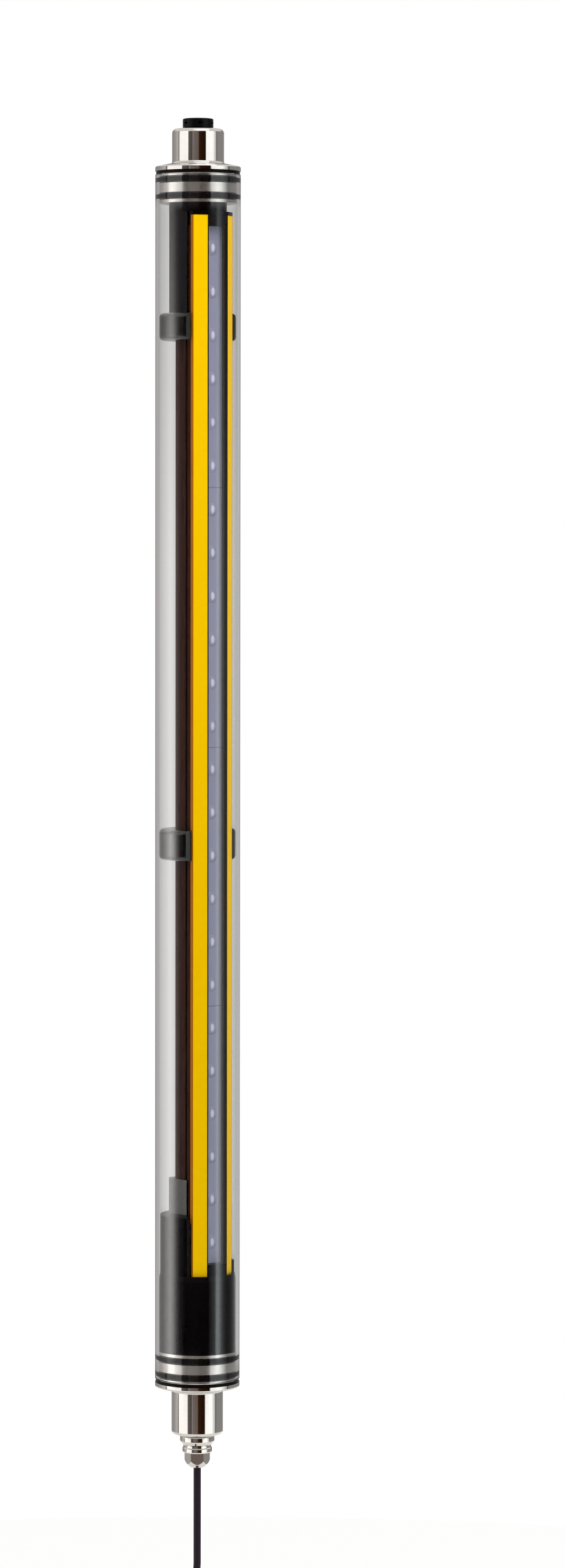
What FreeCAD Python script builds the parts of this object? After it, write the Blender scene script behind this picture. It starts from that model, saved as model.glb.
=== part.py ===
"""Safety light curtain sealed in a clear wash-down tube, as a parametric FreeCAD document.

The tube stands along +Z. The sensing device looks out along -Y. The origin lies on the tube's axis, at the
middle of the bottom stub's clamping land, where a bracket takes hold. All lengths are in millimetres.
"""
import FreeCAD, Part
import math
import os
from types import SimpleNamespace

import Sketcher
from FreeCAD import Vector

DIMENSIONS = {
    # clear tube
    "tube_diameter": 60.0,
    "tube_wall": 2.5,
    # end caps, turned from stainless bar
    "rim_height": 18.0,
    "flange_thickness": 3.2,
    "flange_gasket_thickness": 2.4,
    "flange_gasket_step": 0.6,
    "plug_clearance": 0.1,
    "outer_land_width": 1.5,
    "ring_groove_width": 5.0,
    "ring_groove_depth": 4.1,
    "middle_band_width": 6.6,
    "inner_land_width": 2.1,
    "ring_side_clearance": 0.1,
    "ring_corner_radius": 0.95,
    "flange_edge_radius": 1.2,
    "flange_cone_height": 2.4,
    "stub_diameter": 36.4,
    "stub_root_radius": 1.4,
    "top_stub_length": 26.4,
    "top_stub_edge_radius": 3.0,
    "bottom_stub_length": 34.2,
    "bottom_stub_edge_radius": 2.4,
    "vent_thread_diameter": 12.0,
    "vent_thread_depth": 10.0,
    "vent_passage_diameter": 6.0,
    "gland_thread_diameter": 16.0,
    "gland_thread_depth": 14.0,
    "lead_passage_diameter": 12.0,
    # pressure vent on the top stub
    "vent_seal_thickness": 1.0,
    "vent_seal_diameter": 19.0,
    "vent_diameter": 21.5,
    "vent_flange_thickness": 2.4,
    "vent_boss_diameter": 13.0,
    "vent_boss_height": 1.2,
    "vent_bore": 4.0,
    "membrane_diameter": 10.0,
    "membrane_thickness": 0.4,
    "vent_cap_height": 3.8,
    "vent_cap_wall": 1.6,
    "vent_cap_edge_radius": 0.9,
    "vent_slot_width": 3.0,
    "vent_slot_height": 1.2,
    # cable gland under the bottom stub
    "gland_seal_thickness": 1.0,
    "gland_seal_diameter": 22.0,
    "gland_collar_diameter": 24.4,
    "gland_collar_height": 4.2,
    "gland_collar_radius": 1.2,
    "gland_waist_diameter": 19.8,
    "gland_waist_taper": 2.8,
    "gland_waist_straight": 1.5,
    "gland_waist_flare": 0.7,
    "gland_shoulder_diameter": 21.0,
    "gland_shoulder_height": 3.1,
    "gland_shoulder_radius": 0.9,
    "gland_spigot_diameter": 14.0,
    "gland_spigot_length": 4.5,
    "gland_insert_diameter": 12.0,
    "gland_insert_length": 12.0,
    "gland_insert_overhang": 2.0,
    "gland_split_width": 0.8,
    "gland_sleeve_diameter": 9.0,
    "gland_passage_diameter": 7.0,
    "cap_nut_across_corners": 18.0,
    "cap_nut_hex_length": 5.6,
    "cap_nut_shoulder_diameter": 15.2,
    "cap_nut_shoulder_length": 2.9,
    "cap_nut_shoulder_radius": 2.6,
    "cap_nut_end_length": 2.4,
    "cap_nut_end_diameter": 9.4,
    "cap_nut_end_radius": 0.9,
    "cap_nut_exit_clearance": 0.3,
    # sensing device: section of the extrusion
    "device_width": 35.0,
    "device_height": 26.0,
    "device_face_gap": 5.6,
    "device_shoulder_drop": 5.1,
    "device_corner_radius": 2.0,
    "housing_wall": 1.8,
    "window_width": 17.4,
    "window_thickness": 2.0,
    "window_ledge": 1.9,
    "strip_thickness": 1.0,
    "strip_return": 2.3,
    "side_groove_width": 2.1,
    "side_groove_depth": 1.0,
    "side_groove_drop": 12.0,
    "screw_port_size": 4.2,
    "screw_port_width": 5.0,
    # sensing device: lengths
    "module_length": 182.5,
    "lens_pitch": 30.4,
    "lower_cap_height": 7.0,
    "upper_cap_height": 9.1,
    "end_gasket_thickness": 0.8,
    "end_gasket_opening_margin": 2.0,
    "strip_over_upper_cap": 6.5,
    "cap_lip_height": 2.4,
    "cap_lip_overhang": 0.6,
    # optics
    "board_thickness": 1.6,
    "board_side_clearance": 0.2,
    "carrier_height": 10.0,
    "lens_aperture_diameter": 9.0,
    "lens_plate_thickness": 1.2,
    "lens_plate_width": 18.0,
    "lens_diameter": 10.4,
    "lens_rise": 1.4,
    "emitter_size": 3.0,
    "emitter_height": 1.8,
    "control_board_length": 150.0,
    "control_board_width": 20.0,
    "board_link_width": 12.0,
    "board_link_length": 10.0,
    # holders and spacers that carry the device in the tube
    "holder_height": 55.7,
    "holder_wall": 2.6,
    "holder_floor_thickness": 3.0,
    "holder_deck_thickness": 3.5,
    "holder_floor_hole_diameter": 16.0,
    "holder_step_height": 3.5,
    "bore_clearance": 0.3,
    "cradle_step": 0.8,
    "cradle_high_arm": 41.5,
    "cradle_low_arm": 8.3,
    "cradle_split": 6.0,
    "arm_front_drop": 6.3,
    "bracket_wall": 1.2,
    "bracket_back_step": 6.5,
    "bracket_front_drop": 10.1,
    "bracket_corner_radius": 3.0,
    "lower_bracket_height": 30.8,
    "lower_bracket_seat": 37.0,
    "rear_cover_height": 41.2,
    "upper_bracket_height": 48.3,
    "upper_spacer_height": 19.0,
    "middle_spacer_height": 21.6,
    "middle_spacer_rise": 293.4,
    "spacer_edge_radius": 3.0,
    "puck_diameter": 40.7,
    "puck_height": 6.2,
    # screws
    "cap_screw_diameter": 2.5,
    "cap_screw_head_diameter": 5.0,
    "cap_screw_head_height": 1.8,
    "cap_screw_grip": 8.0,
    "holder_screw_diameter": 4.0,
    "holder_screw_head_diameter": 7.0,
    "holder_screw_head_height": 2.8,
    "holder_screw_thread": 7.0,
    "holder_screw_circle": 30.0,
    "floor_screw_inset": 5.6,
    "drive_socket_share": 0.45,
    # lead inside the holder
    "connector_drop": 19.1,
    "connector_diameter": 12.0,
    "connector_length": 13.0,
    "plug_diameter": 14.5,
    "plug_length": 16.0,
    "plug_neck_diameter": 8.0,
    "plug_neck_length": 6.0,
    "inner_lead_straight": 9.0,
    "inner_lead_shift": 11.0,
    # lead outside
    "lead_diameter": 5.3,
    "lead_straight_drop": 84.6,
    "lead_swing_drop": 40.0,
    "lead_settle_drop": 28.0,
    "hank_run": 80.0,
    "hank_inner_radius": 16.6,
    "hank_turn_pitch": 5.5,
    "tie_width": 12.0,
    "tie_thickness": 1.2,
    "core_diameter": 1.5,
    "core_length": 19.0,
    "core_ring_diameter": 2.9,
    "ferrule_diameter": 1.1,
    "ferrule_length": 7.0,
}
MODULE_COUNT = 4
LENSES_PER_MODULE = 6
CORE_COUNT = 5
HANK_STRANDS = 4
HOLDER_SCREW_ANGLES = (90.0, 225.0, 315.0)
CAP_NUT_TURN = 22.0
VENT_SLOT_COUNT = 6


class Size:
    """A length together with the spreadsheet formula that gives it."""

    def __init__(self, value, formula):
        self.value = value
        self.formula = formula

    @staticmethod
    def of(other):
        return other if isinstance(other, Size) else Size(float(other), repr(float(other)))

    def __add__(self, other):
        other = Size.of(other)
        return Size(self.value + other.value, f"({self.formula} + {other.formula})")

    def __sub__(self, other):
        other = Size.of(other)
        return Size(self.value - other.value, f"({self.formula} - {other.formula})")

    def __mul__(self, other):
        other = Size.of(other)
        return Size(self.value * other.value, f"({self.formula} * {other.formula})")

    def __truediv__(self, other):
        other = Size.of(other)
        return Size(self.value / other.value, f"({self.formula} / {other.formula})")

    def __neg__(self):
        return Size(-self.value, f"(-1 * {self.formula})")

    def __radd__(self, other):
        return Size.of(other) + self

    def __rsub__(self, other):
        return Size.of(other) - self

    def __rmul__(self, other):
        return Size.of(other) * self


ZERO = Size(0.0, "0")

doc = FreeCAD.newDocument("light_curtain")
sheet = doc.addObject("Spreadsheet::Sheet", "dims")
for row, (alias, number) in enumerate(DIMENSIONS.items(), start=1):
    sheet.set(f"A{row}", alias)
    sheet.set(f"B{row}", str(number))
    sheet.setAlias(f"B{row}", alias)
doc.recompute()
d = SimpleNamespace(**{alias: Size(number, f"dims.{alias}") for alias, number in DIMENSIONS.items()})

sub_parts = []


# ---------------------------------------------------------------- ways of making a piece


def bind(item, path, size):
    """Ties one property of an object to its formula in the sheet."""
    item.setExpression(path, Size.of(size).formula)


def finish(item, label):
    """Names a sub-part after its node and lists it for export."""
    item.Label = label
    sub_parts.append(item)
    return item


def origin_plane(body, role):
    return next(feature for feature in body.Origin.OriginFeatures if feature.Role == role)


def draw(body, plane, loops, height=ZERO):
    """A fully dimensioned sketch: each loop is a list of corners, or a (centre x, centre y, radius) tuple."""
    sketch = body.newObject("Sketcher::SketchObject", body.Name + "_sketch")
    sketch.AttachmentSupport = [(origin_plane(body, plane), "")]
    sketch.MapMode = "FlatFace"
    bind(sketch, "AttachmentOffset.Base.z", height)
    for loop in loops:
        if isinstance(loop, tuple):
            draw_circle(sketch, *loop)
        else:
            draw_polygon(sketch, loop)
    return sketch


def draw_polygon(sketch, corners):
    places = [(Size.of(across), Size.of(up)) for across, up in corners]
    spots = [Vector(across.value, up.value, 0) for across, up in places]
    count = len(places)
    sides = [
        sketch.addGeometry(Part.LineSegment(spots[i], spots[(i + 1) % count]), False) for i in range(count)
    ]
    for i, side in enumerate(sides):
        sketch.addConstraint(Sketcher.Constraint("Coincident", side, 2, sides[(i + 1) % count], 1))
    for side, (across, up) in zip(sides, places):
        for kind, size in (("DistanceX", across), ("DistanceY", up)):
            index = sketch.addConstraint(Sketcher.Constraint(kind, -1, 1, side, 1, size.value))
            bind(sketch, f"Constraints[{index}]", size)


def draw_circle(sketch, across, up, radius):
    across, up, radius = Size.of(across), Size.of(up), Size.of(radius)
    centre = Vector(across.value, up.value, 0)
    ring = sketch.addGeometry(Part.Circle(centre, Vector(0, 0, 1), radius.value), False)
    for kind, size in (("DistanceX", across), ("DistanceY", up)):
        index = sketch.addConstraint(Sketcher.Constraint(kind, -1, 1, ring, 3, size.value))
        bind(sketch, f"Constraints[{index}]", size)
    index = sketch.addConstraint(Sketcher.Constraint("Radius", ring, radius.value))
    bind(sketch, f"Constraints[{index}]", radius)


def new_body(label, bottom=ZERO):
    body = doc.addObject("PartDesign::Body", label)
    bind(body, "Placement.Base.z", bottom)
    return finish(body, label)


def pad(body, loops, length, height=ZERO):
    """Extrudes loops of the XY plane upwards, from the given height in the body."""
    feature = body.newObject("PartDesign::Pad", body.Name + "_pad")
    feature.Profile = draw(body, "XY_Plane", loops, height)
    bind(feature, "Length", length)
    doc.recompute()
    return feature


def revolve(body, outline):
    """Turns an outline of (radius, height) corners round the body's own Z axis."""
    sketch = draw(body, "XZ_Plane", [outline])
    feature = body.newObject("PartDesign::Revolution", body.Name + "_turned")
    feature.Profile = sketch
    feature.ReferenceAxis = (sketch, ["V_Axis"])
    feature.Angle = 360.0
    doc.recompute()
    return feature


def pocket(body, loops, depth, top):
    """Cuts loops of the XY plane downwards, from the height top in the body."""
    before = body.Shape.Volume
    feature = body.newObject("PartDesign::Pocket", body.Name + "_pocket")
    feature.Profile = draw(body, "XY_Plane", loops, top)
    bind(feature, "Length", depth)
    doc.recompute()
    if not body.Shape.Volume < before - 1e-3:
        raise RuntimeError(f"a pocket cuts nothing from {body.Label}")
    return feature


def fillet(body, edge_names, radius):
    base = body.Tip
    feature = body.newObject("PartDesign::Fillet", body.Name + "_fillet")
    feature.Base = (base, edge_names)
    bind(feature, "Radius", radius)
    doc.recompute()
    return feature


def ring_edges(body, radius, height):
    """Names of the body's circular edges of one radius at one height, measured in the body."""
    radius, height = Size.of(radius).value, Size.of(height).value
    found = []
    for number, edge in enumerate(body.Tip.Shape.Edges, start=1):
        curve = edge.Curve
        if not isinstance(curve, Part.Circle):
            continue
        if abs(curve.Radius - radius) < 1e-4 and abs(curve.Center.z - height) < 1e-4:
            found.append(f"Edge{number}")
    return found


def upright_edges(body, corners):
    """Names of the body's vertical edges that stand on the given (x, y) corners."""
    wanted = [Vector(Size.of(x).value, Size.of(y).value, 0) for x, y in corners]
    found = []
    for number, edge in enumerate(body.Tip.Shape.Edges, start=1):
        start, end = (vertex.Point for vertex in (edge.Vertexes[0], edge.Vertexes[-1]))
        flat = Vector(start.x, start.y, 0)
        if (flat - Vector(end.x, end.y, 0)).Length > 1e-4 or abs(start.z - end.z) < 1e-4:
            continue
        if any((flat - spot).Length < 1e-4 for spot in wanted):
            found.append(f"Edge{number}")
    return found


def cylinder(name, radius, bottom, height, x=ZERO, y=ZERO):
    item = doc.addObject("Part::Cylinder", name)
    bind(item, "Radius", radius)
    bind(item, "Height", height)
    bind(item, "Placement.Base.x", x)
    bind(item, "Placement.Base.y", y)
    bind(item, "Placement.Base.z", bottom)
    return item


def block(name, low, span):
    """A box from its lowest corner and its three spans."""
    item = doc.addObject("Part::Box", name)
    for path, size in zip(("Length", "Width", "Height"), span):
        bind(item, path, size)
    for path, size in zip("xyz", low):
        bind(item, f"Placement.Base.{path}", size)
    return item


def minus(name, base, tool):
    item = doc.addObject("Part::Cut", name)
    item.Base = base
    item.Tool = tool
    return item


def common(name, base, tool):
    item = doc.addObject("Part::Common", name)
    item.Base = base
    item.Tool = tool
    return item


def fused(name, items):
    item = doc.addObject("Part::MultiFuse", name)
    item.Shapes = items
    return item


def group(name, items):
    """Like pieces that stay separate solids in one node."""
    item = doc.addObject("Part::Compound", name)
    item.Links = items
    return item


def disc_ring(name, outer_radius, inner_radius, bottom, height):
    outer = cylinder(name + "_outside", outer_radius, bottom, height)
    inner = cylinder(name + "_inside", inner_radius, bottom, height)
    return minus(name, outer, inner)


def mirrored(corners):
    """A loop that is symmetrical about x = 0, from its right-hand half."""
    return corners + [(-Size.of(across), up) for across, up in reversed(corners)]


def box_loop(low_x, high_x, low_y, high_y):
    return [(low_x, low_y), (high_x, low_y), (high_x, high_y), (low_x, high_y)]


# ---------------------------------------------------------------- heights along the tube

tube_radius = d.tube_diameter / 2
bore_radius = tube_radius - d.tube_wall
plug_radius = bore_radius - d.plug_clearance
fitted_radius = bore_radius - d.bore_clearance
cup_inside_radius = fitted_radius - d.holder_wall
groove_floor_radius = plug_radius - d.ring_groove_depth
stub_radius = d.stub_diameter / 2
lead_radius = d.lead_diameter / 2

land_end = d.flange_thickness + d.flange_gasket_thickness + d.outer_land_width
outer_groove_end = land_end + d.ring_groove_width
band_end = outer_groove_end + d.middle_band_width
inner_groove_end = band_end + d.ring_groove_width
plug_end = inner_groove_end + d.inner_land_width

bottom_rim = d.rim_height
tube_bottom = bottom_rim + d.flange_thickness + d.flange_gasket_thickness
holder_bottom = bottom_rim + plug_end
holder_top = holder_bottom + d.holder_height
housing_bottom = holder_top + d.lower_cap_height + d.end_gasket_thickness
housing_length = d.module_length * MODULE_COUNT
housing_top = housing_bottom + housing_length
upper_cap_bottom = housing_top + d.end_gasket_thickness
puck_bottom = upper_cap_bottom + d.upper_cap_height
puck_top = puck_bottom + d.puck_height
top_rim = puck_top + plug_end
tube_top = top_rim - d.flange_thickness - d.flange_gasket_thickness
stub_top = top_rim + d.top_stub_length
stub_bottom = bottom_rim - d.bottom_stub_length
gland_top = stub_bottom - d.gland_seal_thickness
gland_collar_bottom = gland_top - d.gland_collar_height
gland_waist_top = gland_collar_bottom - d.gland_waist_taper
gland_waist_bottom = gland_waist_top - d.gland_waist_straight
gland_shoulder_top = gland_waist_bottom - d.gland_waist_flare
gland_shoulder_bottom = gland_shoulder_top - d.gland_shoulder_height
cap_nut_hex_bottom = gland_shoulder_bottom - d.cap_nut_hex_length
cap_nut_shoulder_bottom = cap_nut_hex_bottom - d.cap_nut_shoulder_length
gland_bottom = cap_nut_shoulder_bottom - d.cap_nut_end_length

# ---------------------------------------------------------------- section of the sensing device

device_face_depth = bore_radius - d.device_face_gap
device_back_depth = d.device_height - device_face_depth
device_shoulder_depth = device_face_depth - d.device_shoulder_drop
side_groove_centre = device_face_depth - d.side_groove_drop
bracket_front_depth = device_face_depth - d.bracket_front_drop
bracket_back_depth = device_back_depth + d.bracket_back_step
arm_front_depth = device_face_depth - d.arm_front_drop
connector_depth = device_face_depth - d.connector_drop
half_device = d.device_width / 2
half_window = d.window_width / 2
flank_run = half_device - half_window
flank_slope = d.device_shoulder_drop / flank_run
flank_length = Size(
    math.hypot(flank_run.value, d.device_shoulder_drop.value),
    f"sqrt({flank_run.formula}^2 + {d.device_shoulder_drop.formula}^2)",
)
flank_stretch = flank_length / flank_run
under_strip_half = half_device - d.strip_thickness
strip_foot_depth = device_shoulder_depth - d.strip_return
under_strip_face = device_face_depth - d.strip_thickness * flank_stretch
under_strip_shoulder = under_strip_face - (under_strip_half - half_window) * flank_slope
window_back_depth = device_face_depth - d.window_thickness
ledge_half = half_window - d.window_ledge
ledge_back_depth = window_back_depth - d.housing_wall
inner_half = half_device - d.housing_wall
inner_back_depth = device_back_depth - d.housing_wall
inner_face = under_strip_face - d.housing_wall * flank_stretch
inner_shoulder = inner_face - (inner_half - half_window) * flank_slope
inner_knee_half = half_window + (inner_face - ledge_back_depth) / flank_slope
port_top_depth = d.screw_port_size - inner_back_depth
port_inner_half = inner_half - d.screw_port_width
port_centre_half = inner_half - d.screw_port_width / 2
port_centre_depth = d.screw_port_size / 2 - inner_back_depth
groove_low = side_groove_centre - d.side_groove_width / 2
groove_high = side_groove_centre + d.side_groove_width / 2
groove_half = half_device - d.side_groove_depth


def facing(corners):
    """Turns (across, depth towards the front) corners into the XY plane, where the front is -Y."""
    return [(across, -Size.of(depth)) for across, depth in corners]


device_outside = [
    (half_device, -device_back_depth),
    (half_device, strip_foot_depth),
    (under_strip_half, strip_foot_depth),
    (under_strip_half, under_strip_shoulder),
    (half_window, under_strip_face),
    (half_window, window_back_depth),
]
device_corners = facing([(half_device, -device_back_depth), (-half_device, -device_back_depth)])
port_centres = [(port_centre_half, -port_centre_depth), (-port_centre_half, -port_centre_depth)]
bracket_half = half_device + d.bracket_wall
bracket_corners = facing([(bracket_half, -bracket_back_depth), (-bracket_half, -bracket_back_depth)])


def port_circles(radius):
    return [(across, up, radius) for across, up in port_centres]


# ---------------------------------------------------------------- clear tube and end caps


def make_protective_tube():
    """Clear plastic tube that keeps water off the device."""
    body = new_body("protective_tube", tube_bottom)
    pad(body, [(ZERO, ZERO, tube_radius), (ZERO, ZERO, bore_radius)], tube_top - tube_bottom)


def cap_outline(stub_length, hole_radius, hole_depth, passage_radius):
    """Half section of an end cap: heights run outwards from the rim, the plug lies below zero."""
    cone_top = d.flange_cone_height
    return [
        (passage_radius, -plug_end),
        (plug_radius, -plug_end),
        (plug_radius, -inner_groove_end),
        (groove_floor_radius, -inner_groove_end),
        (groove_floor_radius, -band_end),
        (plug_radius, -band_end),
        (plug_radius, -outer_groove_end),
        (groove_floor_radius, -outer_groove_end),
        (groove_floor_radius, -land_end),
        (plug_radius, -land_end),
        (plug_radius, -d.flange_thickness),
        (tube_radius, -d.flange_thickness),
        (tube_radius, ZERO),
        (stub_radius, cone_top),
        (stub_radius, stub_length),
        (hole_radius, stub_length),
        (hole_radius, stub_length - hole_depth),
        (passage_radius, stub_length - hole_depth),
    ]


def make_end_cap(label, rim, turned_over, stub_length, edge_radius, hole_radius, hole_depth, passage_radius,
                 screw_places):
    """Stainless cap: a grooved plug in the tube, a flange against its end and a round mounting stub."""
    body = new_body(label, rim)
    revolve(body, cap_outline(stub_length, hole_radius, hole_depth, passage_radius))
    fillet(body, ring_edges(body, stub_radius, d.flange_cone_height), d.stub_root_radius)
    fillet(body, ring_edges(body, tube_radius, ZERO), d.flange_edge_radius)
    fillet(body, ring_edges(body, stub_radius, stub_length), edge_radius)
    tapped = [(x, y, d.holder_screw_diameter / 2) for x, y in screw_places]
    pocket(body, tapped, d.holder_screw_thread, -plug_end + d.holder_screw_thread)
    if turned_over:
        body.Placement.Rotation = FreeCAD.Rotation(Vector(1, 0, 0), 180)


def circle_places(circle, angles):
    """Centres spread round a circle, each as an (x, y) pair of formulas."""
    return [
        (circle * (math.cos(math.radians(angle)) / 2), circle * (math.sin(math.radians(angle)) / 2))
        for angle in angles
    ]


def turned_over_places(places):
    """The same places seen from a cap that is turned over about X."""
    return [(x, -y) for x, y in places]


puck_screw_places = circle_places(d.holder_screw_circle, HOLDER_SCREW_ANGLES)
floor_screw_places = circle_places((cup_inside_radius - d.floor_screw_inset) * 2, HOLDER_SCREW_ANGLES)


def make_end_caps():
    make_end_cap("top_end_cap", top_rim, False, d.top_stub_length, d.top_stub_edge_radius,
                 d.vent_thread_diameter / 2, d.vent_thread_depth, d.vent_passage_diameter / 2,
                 puck_screw_places)
    make_end_cap("bottom_end_cap", bottom_rim, True, d.bottom_stub_length, d.bottom_stub_edge_radius,
                 d.gland_thread_diameter / 2, d.gland_thread_depth, d.lead_passage_diameter / 2,
                 turned_over_places(floor_screw_places))


def make_o_ring(label, groove_bottom):
    """Sealing ring squeezed between the groove's floor and the tube's bore."""
    body = new_body(label, groove_bottom + d.ring_side_clearance)
    height = d.ring_groove_width - d.ring_side_clearance * 2
    revolve(body, [
        (groove_floor_radius, ZERO),
        (bore_radius, ZERO),
        (bore_radius, height),
        (groove_floor_radius, height),
    ])
    edges = []
    for radius in (groove_floor_radius, bore_radius):
        edges += ring_edges(body, radius, ZERO) + ring_edges(body, radius, height)
    fillet(body, edges, d.ring_corner_radius)


def make_o_rings():
    make_o_ring("bottom_outer_o_ring", bottom_rim + land_end)
    make_o_ring("bottom_inner_o_ring", bottom_rim + band_end)
    make_o_ring("top_inner_o_ring", top_rim - inner_groove_end)
    make_o_ring("top_outer_o_ring", top_rim - outer_groove_end)


def make_flange_gaskets():
    """Flat rings between each flange and the tube's end."""
    gasket_radius = tube_radius - d.flange_gasket_step
    for label, bottom in (
        ("bottom_flange_gasket", bottom_rim + d.flange_thickness),
        ("top_flange_gasket", tube_top),
    ):
        ring = disc_ring(label, gasket_radius, plug_radius, bottom, d.flange_gasket_thickness)
        finish(ring, label)


# ---------------------------------------------------------------- pressure vent

vent_flange_bottom = stub_top + d.vent_seal_thickness
vent_flange_top = vent_flange_bottom + d.vent_flange_thickness
vent_radius = d.vent_diameter / 2


def make_vent():
    """Pressure vent: a threaded body with a breathing membrane under a slotted cap."""
    thread_radius = d.vent_thread_diameter / 2
    seal = disc_ring("vent_seal", d.vent_seal_diameter / 2, thread_radius, stub_top, d.vent_seal_thickness)
    finish(seal, "vent_seal")

    body = new_body("vent_body", stub_top)
    shank_end = d.vent_thread_depth - d.vent_seal_thickness
    flange_low = d.vent_seal_thickness
    flange_high = flange_low + d.vent_flange_thickness
    boss_radius = d.vent_boss_diameter / 2
    revolve(body, [
        (d.vent_bore / 2, -shank_end),
        (thread_radius, -shank_end),
        (thread_radius, flange_low),
        (vent_radius, flange_low),
        (vent_radius, flange_high),
        (boss_radius, flange_high),
        (boss_radius, flange_high + d.vent_boss_height),
        (d.vent_bore / 2, flange_high + d.vent_boss_height),
    ])

    membrane_bottom = vent_flange_top + d.vent_boss_height
    finish(cylinder("vent_membrane", d.membrane_diameter / 2, membrane_bottom, d.membrane_thickness),
           "vent_membrane")

    cap = new_body("vent_cap", vent_flange_top)
    under_roof = d.vent_cap_height - d.vent_cap_wall
    skirt_radius = vent_radius - d.vent_cap_wall
    revolve(cap, [
        (ZERO, under_roof), (skirt_radius, under_roof), (skirt_radius, ZERO),
        (vent_radius, ZERO), (vent_radius, d.vent_cap_height), (ZERO, d.vent_cap_height),
    ])
    fillet(cap, ring_edges(cap, vent_radius, d.vent_cap_height), d.vent_cap_edge_radius)
    slot = pocket(cap, [box_loop(ZERO, d.vent_diameter, -d.vent_slot_width / 2, d.vent_slot_width / 2)],
                  d.vent_slot_height, d.vent_slot_height)
    slots = cap.newObject("PartDesign::PolarPattern", "vent_cap_slots")
    slots.Originals = [slot]
    slots.Axis = (slot.Profile[0], ["N_Axis"])
    slots.Angle = 360.0
    slots.Occurrences = VENT_SLOT_COUNT
    cap.Tip = slots
    doc.recompute()


# ---------------------------------------------------------------- cable gland

spigot_radius = d.gland_spigot_diameter / 2
insert_radius = d.gland_insert_diameter / 2
sleeve_radius = d.gland_sleeve_diameter / 2
spigot_bottom = gland_shoulder_bottom - d.gland_spigot_length
insert_bottom = spigot_bottom - d.gland_insert_overhang
insert_top = insert_bottom + d.gland_insert_length


def make_gland():
    """Hygienic gland: smooth body, split clamping ring, rubber sleeve round the lead, and a cap nut."""
    thread_radius = d.gland_thread_diameter / 2
    finish(disc_ring("gland_seal", d.gland_seal_diameter / 2, thread_radius, gland_top,
                     d.gland_seal_thickness), "gland_seal")

    body = new_body("gland_body")
    passage_radius = d.gland_passage_diameter / 2
    collar_radius = d.gland_collar_diameter / 2
    waist_radius = d.gland_waist_diameter / 2
    shoulder_radius = d.gland_shoulder_diameter / 2
    thread_top = stub_bottom + d.gland_thread_depth - d.gland_seal_thickness
    revolve(body, [
        (passage_radius, thread_top),
        (thread_radius, thread_top),
        (thread_radius, gland_top),
        (collar_radius, gland_top),
        (collar_radius, gland_collar_bottom),
        (waist_radius, gland_waist_top),
        (waist_radius, gland_waist_bottom),
        (shoulder_radius, gland_shoulder_top),
        (shoulder_radius, gland_shoulder_bottom),
        (spigot_radius, gland_shoulder_bottom),
        (spigot_radius, spigot_bottom),
        (insert_radius, spigot_bottom),
        (insert_radius, insert_top),
        (passage_radius, insert_top),
    ])
    collar_edges = ring_edges(body, collar_radius, gland_top)
    collar_edges += ring_edges(body, collar_radius, gland_collar_bottom)
    fillet(body, collar_edges, d.gland_collar_radius)
    fillet(body, ring_edges(body, shoulder_radius, gland_shoulder_bottom), d.gland_shoulder_radius)

    clamp = disc_ring("gland_clamping_ring_blank", insert_radius, sleeve_radius, insert_bottom,
                      d.gland_insert_length)
    split = block("gland_clamping_ring_split", (ZERO, -d.gland_split_width / 2, insert_bottom),
                  (insert_radius, d.gland_split_width, d.gland_insert_length))
    finish(minus("gland_clamping_ring", clamp, split), "gland_clamping_ring")
    finish(disc_ring("gland_sleeve", sleeve_radius, lead_radius, insert_bottom, d.gland_insert_length),
           "gland_sleeve")

    make_cap_nut()


def make_cap_nut():
    """Cap nut of the gland: a hexagon that runs out into a rounded nose round the lead."""
    turned = doc.addObject("PartDesign::Body", "cap_nut_turned")
    nut_radius = d.cap_nut_across_corners / 2
    nose_radius = d.cap_nut_shoulder_diameter / 2
    end_radius = d.cap_nut_end_diameter / 2
    exit_radius = lead_radius + d.cap_nut_exit_clearance
    revolve(turned, [
        (spigot_radius, gland_shoulder_bottom),
        (nut_radius, gland_shoulder_bottom),
        (nut_radius, cap_nut_hex_bottom),
        (nose_radius, cap_nut_shoulder_bottom),
        (end_radius, gland_bottom),
        (exit_radius, gland_bottom),
        (exit_radius, insert_bottom),
        (insert_radius, insert_bottom),
        (insert_radius, spigot_bottom),
        (spigot_radius, spigot_bottom),
    ])
    fillet(turned, ring_edges(turned, nose_radius, cap_nut_shoulder_bottom), d.cap_nut_shoulder_radius)
    fillet(turned, ring_edges(turned, end_radius, gland_bottom), d.cap_nut_end_radius)
    prism = doc.addObject("Part::Prism", "cap_nut_hexagon")
    prism.Polygon = 6
    bind(prism, "Circumradius", nut_radius)
    bind(prism, "Height", gland_shoulder_bottom - gland_bottom)
    bind(prism, "Placement.Base.z", gland_bottom)
    prism.Placement.Rotation = FreeCAD.Rotation(Vector(0, 0, 1), CAP_NUT_TURN)
    finish(common("gland_cap_nut", turned, prism), "gland_cap_nut")


# ---------------------------------------------------------------- sensing device


def make_device_housing():
    """Dark anodised extrusion, open at the front, with mounting grooves and two screw ports."""
    right_half = [
        (half_device, -device_back_depth),
        (half_device, groove_low),
        (groove_half, groove_low),
        (groove_half, groove_high),
        (half_device, groove_high),
        (half_device, strip_foot_depth),
        (under_strip_half, strip_foot_depth),
        (under_strip_half, under_strip_shoulder),
        (half_window, under_strip_face),
        (half_window, window_back_depth),
        (ledge_half, window_back_depth),
        (ledge_half, ledge_back_depth),
        (inner_knee_half, ledge_back_depth),
        (inner_half, inner_shoulder),
        (inner_half, port_top_depth),
        (port_inner_half, port_top_depth),
        (port_inner_half, -inner_back_depth),
    ]
    body = new_body("device_housing", housing_bottom)
    pad(body, [mirrored(facing(right_half))] + port_circles(d.cap_screw_diameter / 2), housing_length)
    fillet(body, upright_edges(body, device_corners), d.device_corner_radius)


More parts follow.
